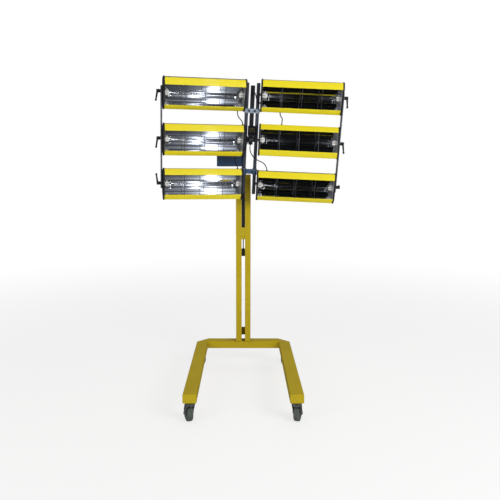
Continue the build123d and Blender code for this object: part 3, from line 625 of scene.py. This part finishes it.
def stadium(mesh, half_length, radius, thickness, edge, place=Matrix(), half=0, slit=0.0):
    """A plate with round ends, along x, as thick as z says. Half of it, where half is -1 or 1."""
    turns = {0: (-90, 90), 1: (0, 90), -1: (-90, 0)}[half]
    steps = 12
    outline = []
    for end, (start, stop) in ((1, turns), (-1, (180 - turns[1], 180 - turns[0]))):
        for count in range(steps + 1):
            angle = radians(start + (stop - start) * count / steps)
            x = end * half_length + radius * cos(angle)
            y = radius * sin(angle) + half * slit
            outline.append(place @ Vector((x, y, -thickness / 2)))
    ends = drawn_out(mesh, outline, place.to_3x3() @ Vector((0, 0, thickness)))
    rounded(mesh, [e for f in ends for e in f.edges], edge)
    face_outwards(mesh)


def spine_length(mesh, z_from, z_to, edge):
    """A length of the spine's square tube."""
    block(
        mesh, (-spine_half, -head_reach - spine_half, z_from),
        (spine_half, -head_reach + spine_half, z_to), edge, 3,
    )


mesh = bmesh.new()
spine_length(mesh, spine_foot, spine_top - spine_plug, 0.0018)
bars(mesh, along_y, (hub_front + hub_rounding, hub_back - hub_rounding, collar_radius, 48, 0.0008))
spine = piece("spine", mesh, dark_enamel, "head", head_place)
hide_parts("head_spine")
spine_hole, spine_hole_radius = 0.25, 0.0048
bush_front, bush_back = -0.0725, -0.069
mesh = bmesh.new()
spine_length(mesh, spine_top - spine_plug, spine_top, 0.0012)
bush = (0, bush_front, spine_hole), (0, bush_back, spine_hole)
bar(mesh, *bush, spine_hole_radius, edge=0.0012)
piece("spine_plug", mesh, black_moulding, "head", head_place)
for name, level, made, slot_name in (
    ("upper_clamp", clamp_level, blued_zinc, "zinc"),
    ("lower_tie", tie_level, box_enamel, "box_paint"),
):
    mesh = bmesh.new()
    where = Matrix.Translation((0, -head_reach, level))
    for half in (-1, 1):
        stadium(
            mesh, hinge_offset, clamp_radius - clamp_split, clamp_half * 2, 0.0008, where, half,
            clamp_split,
        )
    piece(name, mesh, made, "head", head_place)
bolt_x, washer_front, bolt_front = 0.0148, 0.001, 0.005
washer_radius, bolt_head_radius = 0.0058, 0.0046
clamp_front = -head_reach - clamp_radius
mesh = bmesh.new()
for level in (clamp_level, tie_level):
    for x in (-bolt_x, bolt_x):
        under_head = (x, clamp_front - washer_front, level)
        bar(mesh, (x, clamp_front, level), under_head, washer_radius, segments=28)
        head_end = (x, clamp_front - bolt_front, level)
        bar(mesh, under_head, head_end, bolt_head_radius, segments=6, edge=0.0004)
piece("clamp_bolts", mesh, pin_steel, "head", head_place)
tray_left, tray_right, tray_low, tray_high = -0.017, 0.026, 0.023, 0.073
tray_front, tray_back, tray_wall = -0.092, -head_reach - spine_half, 0.002
mesh = bmesh.new()
for corner, far_corner in (
    ((tray_left, tray_back - tray_wall, tray_low), (tray_right, tray_back, tray_high)),
    ((tray_left, tray_front, tray_low), (tray_left + tray_wall, tray_back, tray_high)),
    ((tray_right - tray_wall, tray_front, tray_low), (tray_right, tray_back, tray_high)),
    ((tray_left, tray_front, tray_low), (tray_right, tray_back, tray_low + tray_wall)),
    ((tray_left, tray_front, tray_high - tray_wall), (tray_right, tray_back, tray_high)),
):
    block(mesh, corner, far_corner, 0.0005)
piece("terminal_tray", mesh, dark_enamel, "head", head_place)
pole_count, pole_pitch, pole_from, pole_low, pole_high = 3, 0.0098, -0.0102, 0.04, 0.064
pole_to, pole_front, pole_back = pole_from + pole_count * pole_pitch, -0.084, tray_back - tray_wall
fin_half, fin_front, fin_back = 0.0007, -0.0885, -0.083
mesh = bmesh.new()
block(mesh, (pole_from, pole_front, pole_low), (pole_to, pole_back, pole_high), 0.001)
for count in range(pole_count + 1):
    x = pole_from + count * pole_pitch
    block(mesh, (x - fin_half, fin_front, pole_low), (x + fin_half, fin_back, pole_high), 0.0003)
piece("terminal_block", mesh, phenolic, "head", head_place)
strap_half, strap_front, strap_back = 0.0034, -0.0848, -0.0838
strap_inset, screw_from_end = 0.002, 0.006
mesh = bmesh.new()
for count in range(pole_count):
    x = pole_from + (count + 0.5) * pole_pitch
    block(
        mesh, (x - strap_half, strap_front, pole_low + strap_inset),
        (x + strap_half, strap_back, pole_high - strap_inset), 0.0003,
    )
    for z in (pole_low + screw_from_end, pole_high - screw_from_end):
        screw_head(mesh, (x, strap_front, z), (0, -1, 0), 0.0028)
piece("terminal_screws", mesh, brass, "head", head_place)

# Bank frames. A round inner upright, plugged at both ends, stands in the clamps between two set
# rings. Pins through it and through a flat outer bar carry three cassettes.
upright_radius, upright_half, plug_lip, plug_step = 0.009, 0.285, 0.0015, 0.0004
ring_radius, ring_height, ring_gap = 0.0118, 0.005, 0.0003
ring_screw_radius, ring_screw_proud = 0.0016, 0.0002
bar_inner, bar_thickness, bar_half, bar_end, bar_radius = 0.4275, 0.008, 0.256, 0.01, 0.0099
bar_enamel = finish("bar_enamel", (0.075, 0.085, 0.11), 0.3, 0.35)
mottle(bar_enamel, 25.0, 4.0, 0.45, 0.7, 0.5, (0.12, 0.13, 0.15))
waves(bar_enamel, 450.0, 0.00008)
bank_swing = {"left": radians(12.0), "right": radians(1.3)}
outward = {"left": -1, "right": 1}


def bank_place(side):
    """Where a bank's hinge axis stands on the head."""
    hinge = Matrix.Translation((outward[side] * hinge_offset, -head_reach, 0))
    return head_place @ hinge @ Matrix.Rotation(-outward[side] * bank_swing[side], 4, "Z")


banks = [(side, "bank_" + side, bank_place(side), side == "left") for side in outward]
shoulder = upright_half - plug_lip
mesh = bmesh.new()
bars(mesh, along_z, (-shoulder, shoulder, upright_radius, 40, 0.0006))
fit_to_each(banks, "upright", mesh, bar_enamel, "bank_frame")
mesh = bmesh.new()
for sign in (-1, 1):
    plug = (sign * shoulder, sign * upright_half, upright_radius - plug_step, 40, 0.0006)
    bars(mesh, along_z, plug)
fit_to_each(banks, "plugs", mesh, black_moulding)
mesh = bmesh.new()
for sign in (-1, 1):
    level = tie_level + sign * (clamp_half + ring_gap + ring_height / 2)
    ring = (level - ring_height / 2, level + ring_height / 2, ring_radius, 40, 0.0005)
    bars(mesh, along_z, ring)
    screw_front = (0, -ring_radius - ring_screw_proud, level)
    bar(mesh, (0, 0, level), screw_front, ring_screw_radius, segments=12)
fit_to_each(banks, "set_rings", mesh, zinc_plate)
mesh = bmesh.new()
bar_x = bar_inner + bar_thickness / 2
upended = Matrix(((0, 0, 1, bar_x), (0, 1, 0, 0), (-1, 0, 0, 0), (0, 0, 0, 1)))
stadium(mesh, bar_half - bar_end, bar_radius, bar_thickness, 0.0008, upended)
fit_to_each(banks, "outer_bar", mesh, zinc_plate)

# Cassette housings. The front is an enamelled cover whose two slopes end in narrow lips. The rear
# shell behind its shoulders is bare grey sheet, with a row of slots that lets the hot air out.
cassette_enamel = finish("cassette_enamel", (0.84, 0.715, 0.02), 0.28, Coat_Weight=0.2)
mottle(cassette_enamel, 7.0, 4.0, 0.4, 0.75, 0.5, (0.82, 0.66, 0.015))
# Painted shade: the cover's colour darkens in its creases and corners, found by ambient occlusion.
painted_shade_in_creases(cassette_enamel, (0.35, 0.24, 0.02), 0.012, 0.6)
waves(cassette_enamel, 380.0, 0.0001)
bare_sheet = finish("bare_sheet", (0.5, 0.51, 0.53), 0.28, 1.0)
wear(bare_sheet, 40.0, 3.0, 0.22, 0.42, stretch=(0.05, 1.0, 1.0), own=True)
mottle(bare_sheet, 18.0, 4.0, 0.5, 0.75, 0.5, (0.33, 0.34, 0.35))
sheet, housing_from, housing_to = 0.0015, 0.021, 0.418
lip_inner, lip_outer, mouth_y = 0.051, 0.054, -0.051
shoulder_y, heel_y, shoulder_z = -0.033, -0.014, 0.08
back_y, back_z = 0.034, 0.052
vent_count, vent_length, vent_height = 6, 0.044, 0.005
cover_wrap, cover_step, cover_lap = 0.005, 0.0006, 0.001
cover_end, shell_z = shoulder_y + cover_wrap, shoulder_z - cover_step
cover_fold, shell_fold = 0.0018, 0.0028
housing_middle = Vector((0.2, -0.012, 0))


def both_halves(half):
    """A profile (y, z) and its mirror image below."""
    return half + [(y, -z) for y, z in reversed(half)]


def folded(mesh, profile, x_from, x_to, radius):
    """A sheet that runs along x, folded at each point (y, z) of its profile."""
    points = [mesh.verts.new((x_from, y, z)) for y, z in profile]
    edges = [mesh.edges.new(pair) for pair in zip(points, points[1:])]
    drawn = bmesh.ops.extrude_edge_only(mesh, edges=edges)["geom"]
    moved(mesh, drawn, (x_to - x_from, 0, 0))
    folds = {
        e for v in points for e in v.link_edges
        if len(e.link_faces) == 2 and abs(e.verts[0].co.x - e.verts[1].co.x) > (x_to - x_from) / 2
    }
    rounded(mesh, folds, radius, 3)


def wall(mesh, thickness):
    """Gives an open sheet its thickness, towards the middle of the cassette."""
    bmesh.ops.remove_doubles(mesh, verts=mesh.verts, dist=1e-6)
    face_outwards(mesh)
    inwards = [
        f for f in mesh.faces
        if f.normal.yz.dot((f.calc_center_median() - housing_middle).yz) < 0
    ]
    if len(inwards) > len(mesh.faces) / 2:
        bmesh.ops.reverse_faces(mesh, faces=mesh.faces)
    bmesh.ops.solidify(mesh, geom=mesh.faces, thickness=thickness)
    face_outwards(mesh)


def cut_slots(mesh):
    """Cuts the slots out of the back."""
    spans = []
    for count in range(vent_count):
        middle = housing_from + (housing_to - housing_from) * (count + 0.5) / vent_count
        spans.append((middle - vent_length / 2, middle + vent_length / 2))
    for cut in [x for span in spans for x in span]:
        around = mesh.verts[:] + mesh.edges[:] + mesh.faces[:]
        bmesh.ops.bisect_plane(mesh, geom=around, plane_co=(cut, 0, 0), plane_no=(1, 0, 0))
    for level in (-vent_height / 2, vent_height / 2):
        back = [f for f in mesh.faces if f.calc_center_median().y > back_y - sheet]
        around = list({v for f in back for v in f.verts}) + list({e for f in back for e in f.edges})
        bmesh.ops.bisect_plane(mesh, geom=around + back, plane_co=(0, 0, level), plane_no=(0, 0, 1))
    middles = {f: f.calc_center_median() for f in mesh.faces}
    slots = [
        f for f, at in middles.items()
        if at.y > back_y - sheet and abs(at.z) < vent_height / 2
        and any(start < at.x < end for start, end in spans)
    ]
    bmesh.ops.delete(mesh, geom=slots, context="FACES")


cover_profile = [
    (mouth_y, lip_inner), (mouth_y, lip_outer), (shoulder_y, shoulder_z), (cover_end, shoulder_z),
]
lower_cover_profile = [(y, -z) for y, z in reversed(cover_profile)]
shell_profile = both_halves([(cover_end - cover_lap, shell_z), (heel_y, shell_z), (back_y, back_z)])
cassette_tilt = {
    "left": {"top": 18.0, "middle": 8.0, "bottom": 0.0},
    "right": {"top": 11.0, "middle": -11.0, "bottom": 8.0},
}
row_steps = {"top": 0.229, "middle": 0.0, "bottom": -0.229}


def cassette_place(side, row):
    """Where a cassette hangs in its bank: x outwards along it, y to its back, z up."""
    turn = Matrix.Rotation(radians(cassette_tilt[side][row]), 4, "X")
    return bank_place(side) @ Matrix.Translation((0, 0, row_steps[row])) @ turn


cassettes = [
    (f"{side}_{row}", f"cassette_{side}_{row}", cassette_place(side, row), side == "left")
    for side in outward for row in row_steps
]
mesh = bmesh.new()
for profile in (cover_profile, lower_cover_profile):
    folded(mesh, profile, housing_from, housing_to, cover_fold)
wall(mesh, sheet)
fit_to_each(cassettes, "cover", mesh, cassette_enamel, "housing")
mesh = bmesh.new()
folded(mesh, shell_profile, housing_from, housing_to, shell_fold)
cut_slots(mesh)
wall(mesh, sheet)
fit_to_each(cassettes, "shell", mesh, bare_sheet)

# End caps. Black mouldings close the two ends of a housing. Each has a sunk panel with a rib across
# it and four screws, and carries the steel pin that turns in the bank frame.
cap_thickness, cap_margin, inner_cap, outer_cap = 0.008, 0.0011, 0.013, 0.418
cap_profile = both_halves([
    (mouth_y - cap_margin, lip_outer + cap_margin * 0.5),
    (shoulder_y - cap_margin * 0.4, shoulder_z + cap_margin),
    (heel_y + cap_margin * 0.4, shoulder_z + cap_margin),
    (back_y + cap_margin, back_z + cap_margin * 0.6),
])
rim_width, rim_slope, panel_depth, cap_rounding = 0.0045, 0.0012, 0.0024, 0.0006
rib_height, rib_half_width, rib_half_length = 0.0018, 0.002, 0.062
boss_height, boss_radius, boss_tip = 0.0024, 0.013, 0.011
pin_radius, pin_collar_radius = 0.004, 0.007
panels = ((inner_cap + panel_depth, -1), (outer_cap + cap_thickness - panel_depth, 1))
screw_places = [(-0.026, 0.069), (0.023, 0.047), (-0.026, -0.069), (0.023, -0.047)]


def cap_shell(mesh, x_in, x_out):
    """A closed cap between two planes, its outer face sunk inside a rim."""
    way = (x_out - x_in, 0, 0)
    outer = drawn_out(mesh, [(x_in, y, z) for y, z in cap_profile], way)[1:]
    face_outwards(mesh)
    bmesh.ops.inset_region(mesh, faces=outer, thickness=rim_width, depth=0)
    bmesh.ops.inset_region(mesh, faces=outer, thickness=rim_slope, depth=-panel_depth)
    sharp = [
        e for e in mesh.edges
        if e.calc_length() > 0.004 and len(e.link_faces) == 2 and e.calc_face_angle() > 0.5
    ]
    rounded(mesh, sharp, cap_rounding)


mesh = bmesh.new()
cap_shell(mesh, inner_cap + cap_thickness, inner_cap)
cap_shell(mesh, outer_cap, outer_cap + cap_thickness)
for x, way in panels:
    rib_end = (x + way * rib_height, rib_half_width, rib_half_length)
    block(mesh, (x, -rib_half_width, -rib_half_length), rib_end, 0.0006)
    bar(mesh, (x, 0, 0), (x + way * boss_height, 0, 0), boss_radius, tip=boss_tip, segments=32)
fit_to_each(cassettes, "caps", mesh, black_moulding, "end_caps")
mesh = bmesh.new()
for x, way in panels:
    for y, z in screw_places:
        screw_head(mesh, (x, y, z), (way, 0, 0))
bars(
    mesh, along_x, (-0.0087, 0.014, pin_radius, 24, 0.0006),
    (0.0093, 0.013, pin_collar_radius, 24, 0.0004), (0.425, 0.4498, pin_radius, 24, 0.0006),
    (0.4255, 0.4272, pin_collar_radius, 24, 0.0004),
)
fit_to_each(cassettes, "pins", mesh, pin_steel)

# Reflectors. A trough of thin polished aluminium lies behind each lamp, folded in flat strips. A
# plate of the same metal, brushed, stands across each of its ends.
reflector_sheet, reflector_fold, trough_gap, plate_gap = 0.0006, 0.0008, 0.0005, 0.0006
trough_centre, trough_radius = -0.0302, 0.042
trough_half = [(-0.049, 0.0518)]
for turn in (67, 46, 26, 9):
    across = radians(turn)
    y, z = trough_centre + trough_radius * cos(across), trough_radius * sin(across)
    trough_half.append((y, z))
trough_profile = both_halves(trough_half)
polished_aluminium = finish("polished_aluminium", (0.86, 0.87, 0.89), 0.07, 1.0)
wear(polished_aluminium, 60.0, 3.0, 0.015, 0.05, stretch=(0.02, 1.0, 1.0), own=True)
waves(polished_aluminium, 240.0, 0.00005, 0.6, stretch=(0.02, 1.0, 1.0), own=True)
waves(polished_aluminium, 12.0, 0.0002, 0.4, stretch=(0.25, 1.0, 1.0), own=True)
brushed_aluminium = finish("brushed_aluminium", (0.66, 0.67, 0.69), 0.34, 0.5)
grain = {"stretch": (1.0, 0.03, 1.0), "own": True}
mottle(brushed_aluminium, 700.0, 2.0, 0.35, 0.7, 0.5, (0.48, 0.49, 0.51), **grain)
wear(brushed_aluminium, 700.0, 2.0, 0.28, 0.42, **grain)
mesh = bmesh.new()
folded(mesh, trough_profile, housing_from + trough_gap, housing_to - trough_gap, reflector_fold)
wall(mesh, reflector_sheet)
fit_to_each(cassettes, "trough", mesh, polished_aluminium, "reflector", 20.0)
mesh = bmesh.new()
for x in (housing_from + plate_gap, housing_to - plate_gap - reflector_sheet):
    drawn_out(mesh, [(x, y, z) for y, z in trough_profile], (reflector_sheet, 0, 0))
face_outwards(mesh)
fit_to_each(cassettes, "trough_ends", mesh, brushed_aluminium)

# Lamps. A clear quartz tube holds a coiled tungsten filament on small discs, and its flat pinched
# ends sit in white ceramic holders with a spring clip.
lamp_y, lamp_radius, pinch_length, pinch_lap = -0.017, 0.006, 0.012, 0.002
pinch_half_y, pinch_half_z = 0.0018, 0.0056
holder_length, holder_half, holder_depth, holder_gap = 0.024, 0.0095, 0.008, 0.0008
jaw_from, seat_from, seat_inset = 0.003, 0.0022, 0.001
clip_y, clip_half, clip_radius = 0.004, 0.016, 0.0045
coil_radius, coil_wire, coil_turns, coil_steps, coil_inset = 0.0016, 0.00035, 90, 10, 0.004
disc_count, disc_width, disc_radius = 7, 0.0006, lamp_radius - 0.0012
tube_from = housing_from + holder_length + pinch_length - pinch_lap
tube_to = housing_to - holder_length - pinch_length + pinch_lap
coil_length = tube_to - tube_from - 2 * coil_inset
tungsten = finish("tungsten", (0.1, 0.1, 0.1), 0.5, 0.8)
ceramic = finish("ceramic", (0.86, 0.85, 0.82), 0.42, Coat_Weight=0.2)
mottle(ceramic, 60.0, 4.0, 0.5, 0.75, 0.5, (0.7, 0.68, 0.62))
quartz = finish("quartz", (0.96, 0.97, 0.98), 0.02, IOR=1.46, Transmission_Weight=1.0)
mesh = bmesh.new()
bar(mesh, (tube_from, lamp_y, 0), (tube_to, lamp_y, 0), lamp_radius, segments=32, edge=0.003)
for start, end in (
    (tube_from - pinch_length + pinch_lap, tube_from + pinch_lap),
    (tube_to - pinch_lap, tube_to + pinch_length - pinch_lap),
):
    pinch_end = (end, lamp_y + pinch_half_y, pinch_half_z)
    block(mesh, (start, lamp_y - pinch_half_y, -pinch_half_z), pinch_end, 0.0012)
fit_to_each(cassettes, "quartz_tube", mesh, quartz, "emitter")
mesh = bmesh.new()
for start, end in (
    (housing_from + holder_gap, housing_from + holder_length),
    (housing_to - holder_length, housing_to - holder_gap),
):
    for y, z_from, z_to in (
        (-holder_depth, jaw_from, holder_half), (-holder_depth, -holder_half, -jaw_from),
        (seat_from, seat_inset - holder_half, holder_half - seat_inset),
    ):
        block(mesh, (start, lamp_y + y, z_from), (end, lamp_y + holder_depth, z_to), 0.0012)
    clip, reach = Vector(((start + end) / 2, lamp_y + clip_y, 0)), Vector((0, 0, clip_half))
    bar(mesh, clip - reach, clip + reach, clip_radius, edge=0.001)
fit_to_each(cassettes, "lamp_holders", mesh, ceramic)
steps = coil_turns * coil_steps
first_ring = Matrix.Translation((tube_from + coil_inset, lamp_y + coil_radius, 0))
mesh = bmesh.new()
bmesh.ops.create_circle(
    mesh, cap_ends=False, radius=coil_wire, segments=4,
    matrix=first_ring @ Matrix.Rotation(pi / 2, 4, "X"),
)
bmesh.ops.spin(
    mesh, geom=mesh.verts[:] + mesh.edges[:], cent=(0, lamp_y, 0), axis=(1, 0, 0),
    dvec=(coil_length / steps, 0, 0), angle=coil_turns * 2 * pi, steps=steps,
)
for count in range(disc_count):
    x = tube_from + (tube_to - tube_from) * (count + 1) / (disc_count + 1)
    bar(mesh, (x, lamp_y, 0), (x + disc_width, lamp_y, 0), disc_radius, segments=20)
face_outwards(mesh)
fit_to_each(cassettes, "filament", mesh, tungsten)

# Guards. Three bright wires stand across each mouth, to keep what is painted and the hand off the
# lamp. Their ends are hooked through the lips of the cover.
guard_wire = finish("guard_wire", (0.34, 0.35, 0.37), 0.3, 1.0)
guard_count, guard_radius = 3, 0.00125
hook_y, hook_z, guard_y, guard_z = -0.0492, 0.0525, mouth_y - guard_radius, 0.0518


def wire(mesh, points, radius, segments=10):
    """A wire through points, its corners mitred."""
    path = [Vector(point) for point in points]
    way = (path[1] - path[0]).normalized()
    ring = bmesh.ops.create_circle(
        mesh, cap_ends=True, radius=radius, segments=segments,
        matrix=Matrix.Translation(path[0]) @ way.to_track_quat("Z", "Y").to_matrix().to_4x4(),
    )["verts"]
    face = next(f for f in ring[0].link_faces)
    for here, there, after in zip(path, path[1:], path[2:] + [None]):
        drawn = bmesh.ops.extrude_face_region(mesh, geom=[face])["geom"]
        face = next(f for f in drawn if isinstance(f, bmesh.types.BMFace))
        verts = moved(mesh, drawn, there - here)
        centre = sum((v.co for v in verts), Vector()) / len(verts)
        mitre = (there - here).normalized()
        if after:
            mitre = (mitre + (after - there).normalized()).normalized()
        turn = way.rotation_difference(mitre).to_matrix()
        bmesh.ops.rotate(mesh, cent=centre, matrix=turn, verts=verts)
        way = mitre
    face_outwards(mesh)


mesh = bmesh.new()
for count in range(guard_count):
    x = housing_from + (housing_to - housing_from) * (count + 1) / (guard_count + 1)
    wire(mesh, [
        (x, hook_y, -hook_z), (x, guard_y, -guard_z), (x, guard_y, 0), (x, guard_y, guard_z),
        (x, hook_y, hook_z),
    ], guard_radius)
fit_to_each(cassettes, "guard_wires", mesh, guard_wire, "guard", 50.0)

# Clamp levers. A black moulded handle on each outer pin locks its cassette at an angle. The solid
# has its full shape, and only gets its finish here.
paint_nodes(black_moulding, *("clamp_lever_" + spot for spot, *_ in cassettes))

# Leads. Thin black cables feed the cassettes from the channel in the middle of the head, and from
# one cassette to the next. Each is cut where it passes from the head or a cassette to its bank.
lead_rubber = finish("lead_rubber", (0.014, 0.014, 0.016), 0.45)
lead_radius, lead_exit, lead_slack, lead_bow = 0.0025, 0.016, -0.014, 0.009
lead_seat = (shoulder_y + heel_y) / 2
grommet_length, grommet_radius = 0.004, 0.0052


def cable(route):
    """A round cable along a smooth line near the route's points."""
    curve = bpy.data.curves.new("route", "CURVE")
    curve.dimensions = "3D"
    line = curve.splines.new("NURBS")
    line.points.add(len(route) - 1)
    for point, where in zip(line.points, route):
        point.co = (*where, 1)
    line.order_u = 3
    line.use_endpoint_u = True
    line.resolution_u = 12
    curve.bevel_depth = lead_radius
    curve.bevel_resolution = 4
    curve.use_fill_caps = True
    holder = in_scene("route", curve)
    bpy.context.view_layer.update()
    data = bpy.data.meshes.new_from_object(holder)
    bpy.data.objects.remove(holder)
    mesh = bmesh.new()
    mesh.from_mesh(data)
    bpy.data.meshes.remove(data)
    bmesh.ops.remove_doubles(mesh, verts=mesh.verts, dist=1e-6)
    return mesh


def bending(name, mesh, first, second, start, end, replaced=None):
    """A stretch of cable laid from one body to the next; it stays where it is laid and does not
    bend.
    """
    stretch = object_of(name, mesh, lead_rubber)
    if replaced:
        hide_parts(replaced)
    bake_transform(stretch)


def grommet(name, body, seat, next_point):
    """A moulded ring where a cable leaves a casing."""
    mesh = bmesh.new()
    end = seat + (next_point - seat).normalized() * grommet_length
    bar(mesh, seat, end, grommet_radius, tip=grommet_radius * 0.8, edge=0.0006)
    piece("grommet_" + name, mesh, black_moulding, body)


def lead(names, bodies, route, cut, way, start=0, replaced=None):
    """A cable past three bodies, in two stretches that meet at a cut on the middle one."""
    halves = cable(route), cable(route)
    for half, before in zip(halves, (True, False)):
        bmesh.ops.bisect_plane(
            half, geom=half.verts[:] + half.edges[:] + half.faces[:], plane_co=cut, plane_no=way,
            clear_outer=before, clear_inner=not before,
        )
    bending("lead_" + names[0], halves[0], *bodies[:2], route[start], cut, replaced)
    bending("lead_" + names[1], halves[1], *bodies[1:], cut, route[-1])
    grommet(names[1], bodies[2], route[-1], route[-2])


def through(place, *points):
    """A route's points, given in a body's own axes."""
    return [place @ Vector(point) for point in points]


def jumper(side, upper, lower, reach_up, reach_down, replaced=None):
    """A cable from the underside of one cassette to the top of the next."""
    x_up, x_down, bow = (outward[side] * x for x in (reach_up, reach_down, lead_bow))
    level = (row_steps[upper] + row_steps[lower]) / 2
    route = through(
        cassette_place(side, upper), (x_up, lead_seat, -shoulder_z),
        (x_up, lead_seat, -shoulder_z - lead_exit),
    )
    route += through(bank_place(side), ((x_up + x_down) / 2 + bow, lead_slack, level))
    route += through(
        cassette_place(side, lower), (x_down, lead_seat, shoulder_z + lead_exit),
        (x_down, lead_seat, shoulder_z),
    )
    cut = (route[1] + route[3]) / 4 + route[2] / 2
    names = (f"{side}_{upper}_down", f"{side}_{lower}_up")
    bodies = (f"cassette_{side}_{upper}", "bank_" + side, f"cassette_{side}_{lower}")
    lead(names, bodies, route, cut, (0, 0, -1), 0, replaced)
    grommet(names[0], bodies[0], route[0], route[1])


jumper("left", "top", "middle", 0.046, 0.024, "leads_left")
jumper("left", "middle", "bottom", 0.052, 0.04)
jumper("right", "top", "middle", 0.116, 0.128, "leads_right")
left_exit = -upright_radius
route = through(
    head_place, (-0.008, -0.086, 0.023), (-0.008, -0.086, 0.009), (-0.016, -0.091, -0.012),
    (-0.026, -0.092, -0.032),
)
route += through(bank_place("left"), (0, left_exit - lead_exit, -0.048), (0, left_exit, -0.048))
bending("lead_left_feed", cable(route), "head", "bank_left", route[0], route[-2])
grommet("left_feed", "head", route[0], route[1])
grommet("left_feed_end", "bank_left", route[-1], route[-2])
feed_reach = 0.064
route = through(
    head_place, (0.006, -0.086, 0.023), (0.006, -0.086, 0.009), (-0.001, -0.092, -0.017),
    (-0.003, -0.093, -0.051), (0.014, -0.09, -0.082), (0.042, -0.084, -0.103),
    (0.072, -0.076, -0.113),
)
route += through(
    cassette_place("right", "bottom"), (feed_reach, lead_seat, shoulder_z + lead_exit),
    (feed_reach, lead_seat, shoulder_z),
)
lead(
    ("right_feed", "right_feed_end"), ("head", "bank_right", "cassette_right_bottom"), route,
    route[5], (route[6] - route[4]).normalized(), 1,
)
grommet("right_feed", "head", route[0], route[1])
route = through(
    head_place, (0, -0.07, spine_hole), (0, -0.085, spine_hole), (0.013, -0.093, 0.234),
    (0.02, -0.087, 0.208),
)
route += through(
    cassette_place("right", "top"), (inner_cap - lead_exit, -0.02, -0.038),
    (inner_cap, -0.02, -0.038),
)
lead(
    ("right_top", "right_top_end"), ("head", "bank_right", "cassette_right_top"), route,
    route[3], (route[4] - route[2]).normalized(), 1,
)
